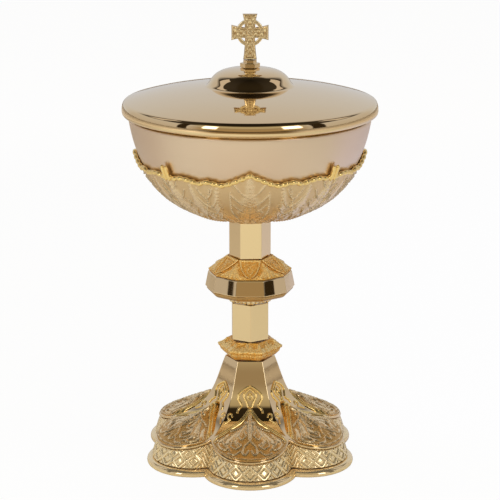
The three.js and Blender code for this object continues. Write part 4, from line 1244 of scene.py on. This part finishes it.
# %% Finishes of the CAD pieces
STEEL_PIECES = ["tie_rod", "tie_rod_washer", "tie_rod_nut", "finial_stud", "finial_washer", "finial_nut"]
for node, finish in [("cup_boss", lining), *[(node, steel) for node in STEEL_PIECES]]:
    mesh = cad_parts[node].data
    mesh.materials.clear()
    mesh.materials.append(finish)
print("steel pieces:", len(STEEL_PIECES))

# %% [markdown]
# ## The tent of light
#
# Polished metal shows its surroundings, so the photograph's look is mostly a matter of what stands round
# the cup: a pale back wall, bright sides, a dark gap overhead and the warm dim side where the camera is.
# A world shader by direction gives all of that. Real panels could do it too, but would be seen by the
# camera or need many more objects. The lower faces mirror the floor, so its paper is toned by bearing and
# distance, while the camera sees it nearly white, with the cup's shadow. Two soft lamps light the grain.

# %% World
world = bpy.data.worlds.new("tent")
bpy.context.scene.world = world
sky = Nodes(world)
CEILING = (90, (0.01, 0.008, 0.006))
BACK = [
    (0, (0.62, 0.64, 0.69)), (24, (0.60, 0.61, 0.67)), (44, (0.58, 0.56, 0.59)), (57, (0.53, 0.50, 0.50)),
    (64, (0.04, 0.03, 0.02)), CEILING,
]
FRONT = [
    (0, (0.38, 0.27, 0.14)), (14, (0.34, 0.27, 0.18)), (24, (0.52, 0.46, 0.33)), (38, (0.42, 0.36, 0.24)),
    (44, (0.03, 0.022, 0.012)), CEILING,
]
SIDES = [(0, (0.54, 0.50, 0.48)), (26, (0.58, 0.56, 0.58)), (32, (0.05, 0.04, 0.03)), CEILING]
x_part, y_part, z_part = sky.add("SeparateXYZ", {0: sky.out("TexCoord", output="Generated")}).outputs
towards_front = sky.math("MULTIPLY", y_part, -1.0)
elevation = sky.math("ARCSINE", z_part)
share_up = sky.math("DIVIDE", elevation, math.pi / 2)


def up_ramp(stops):
    """Colour by elevation; stops are (degrees, colour)."""
    node = sky.add("ValToRGB", {0: share_up})
    ramp = node.color_ramp
    while len(ramp.elements) < len(stops):
        ramp.elements.new(0.5)
    for element, (degrees, colour) in zip(ramp.elements, stops):
        element.position = degrees / 90
        element.color = rgba(colour)
    return node.outputs[0]


aside = sky.math("ARCTAN2", sky.math("ABSOLUTE", x_part), towards_front)
aside = sky.math("MULTIPLY", aside, 180 / math.pi)
tent = sky.blend(sky.step(aside, 40.0, 60.0), up_ramp(FRONT), up_ramp(SIDES))
tent = sky.blend(sky.step(aside, 125.0, 150.0), tent, up_ramp(BACK))

# %% Dark gaps, windows and soft boxes
DARK_GAP = (0.03, 0.02, 0.01)
WINDOW = (0.62, 0.56, 0.54)
SOFT_BOX = (3.0, 2.9, 2.8)
bearing = sky.math("ARCTAN2", x_part, towards_front)


def patch(azimuth, height, width, tall, blur):
    """1 inside a rectangle of directions round an azimuth and elevation, 0 outside, blurred edges."""
    inside = []
    for angle, middle, size in [(bearing, azimuth, width), (elevation, height, tall)]:
        away = sky.math("ABSOLUTE", sky.math("SUBTRACT", angle, math.radians(middle)))
        inside.append(sky.step(away, math.radians(size / 2 + blur), math.radians(size / 2)))
    return sky.math("MULTIPLY", *inside)


for azimuth, height, width, tall, blur, colour in [
    (-62, 12, 8, 44, 1.5, DARK_GAP),
    (63, 12, 12, 44, 1.5, DARK_GAP),
    (-108, 44, 24, 20, 1.5, WINDOW),
    (108, 44, 24, 20, 1.5, WINDOW),
    (-36, 19, 10, 20, 3, SOFT_BOX),
    (38, 19, 14, 20, 3, SOFT_BOX),
]:
    tent = sky.blend(patch(azimuth, height, width, tall, blur), tent, colour)
shown = sky.blend(sky.out("LightPath", output="Is Camera Ray"), tent, (1.0, 1.0, 1.0))
sky.end("World", sky.out("Background", {"Color": shown, "Strength": 1.0}))
print("sky nodes:", len(sky.tree.nodes))

# %% Floor
FLOOR_SIZE = 6.0
FLOOR_CORNERS = [(x * FLOOR_SIZE, y * FLOOR_SIZE, 0) for x, y in [(-1, -1), (1, -1), (1, 1), (-1, 1)]]
floor_mesh = bpy.data.meshes.new("floor")
floor_mesh.from_pydata(FLOOR_CORNERS, [], [(0, 1, 2, 3)])
placed("floor", floor_mesh)
print("floor", 2 * FLOOR_SIZE, "m wide")

# %% Paper on the floor
paper_finish = bpy.data.materials.new("paper")
paper = Nodes(paper_finish)
spot = paper.out("TexCoord", output="Object")
spot_parts = paper.add("SeparateXYZ", {0: spot}).outputs
bearing = paper.math("ARCTAN2", spot_parts[0], paper.math("MULTIPLY", spot_parts[1], -1.0))
aside = paper.math("ABSOLUTE", bearing)
distance = paper.out("VectorMath", {0: spot}, "Value", operation="LENGTH")


def paper_blend(value, start, end, first, second):
    """Blend of two colours while a value goes from start to end."""
    return paper.blend(paper.step(value, start, end), first, second)


near_paper = paper_blend(aside, 0.35, 0.6, (0.70, 0.68, 0.57), (0.67, 0.65, 0.56))
near_paper = paper_blend(bearing, 1.3, 1.9, near_paper, (0.70, 0.68, 0.75))
near_paper = paper_blend(bearing, -1.9, -1.3, (0.58, 0.53, 0.46), near_paper)
far_paper = paper_blend(aside, 0.5, 0.9, (0.30, 0.22, 0.13), (0.95, 0.86, 0.74))
close_paper = paper_blend(aside, 0.5, 0.9, (0.66, 0.61, 0.51), near_paper)
paper_colour = paper_blend(distance, 0.33, 0.42, close_paper, near_paper)
paper_colour = paper_blend(distance, 0.75, 1.1, paper_colour, far_paper)
matt = paper.out("BsdfDiffuse", {"Color": paper_colour})
glow = paper.out("Emission", {"Color": (1.0, 1.0, 1.0, 1.0), "Strength": 1.0})
whiter = paper.math("MULTIPLY", paper.out("LightPath", output="Is Camera Ray"), 0.96)
paper.end("Material", paper.out("MixShader", {0: whiter, 1: matt, 2: glow}))
floor_mesh.materials.append(paper_finish)
print("paper nodes:", len(paper.tree.nodes))

# %% Lamps over the floor and from the front
for name, size, watts, place, tilt, turn in [
    ("overhead", 1.6, 17.0, (0.0, 0.0, 1.5), 0, 0),
    ("fill", 0.9, 12.0, (-0.5, -1.3, 0.9), 60, -21),
]:
    lamp_data = bpy.data.lights.new(name, "AREA")
    lamp_data.shape = "RECTANGLE"
    lamp_data.size = lamp_data.size_y = size
    lamp_data.energy = watts
    lamp = placed(name, lamp_data)
    lamp.location = place
    lamp.rotation_euler = (math.radians(tilt), 0.0, math.radians(turn))
    lamp.visible_glossy = False
    print("lamp", name, watts, "W")

# %% [markdown]
# ## Colour
#
# The view transform is Standard, so the gold keeps its measured colour.

# %% Colour
bpy.context.scene.view_settings.view_transform = "Standard"
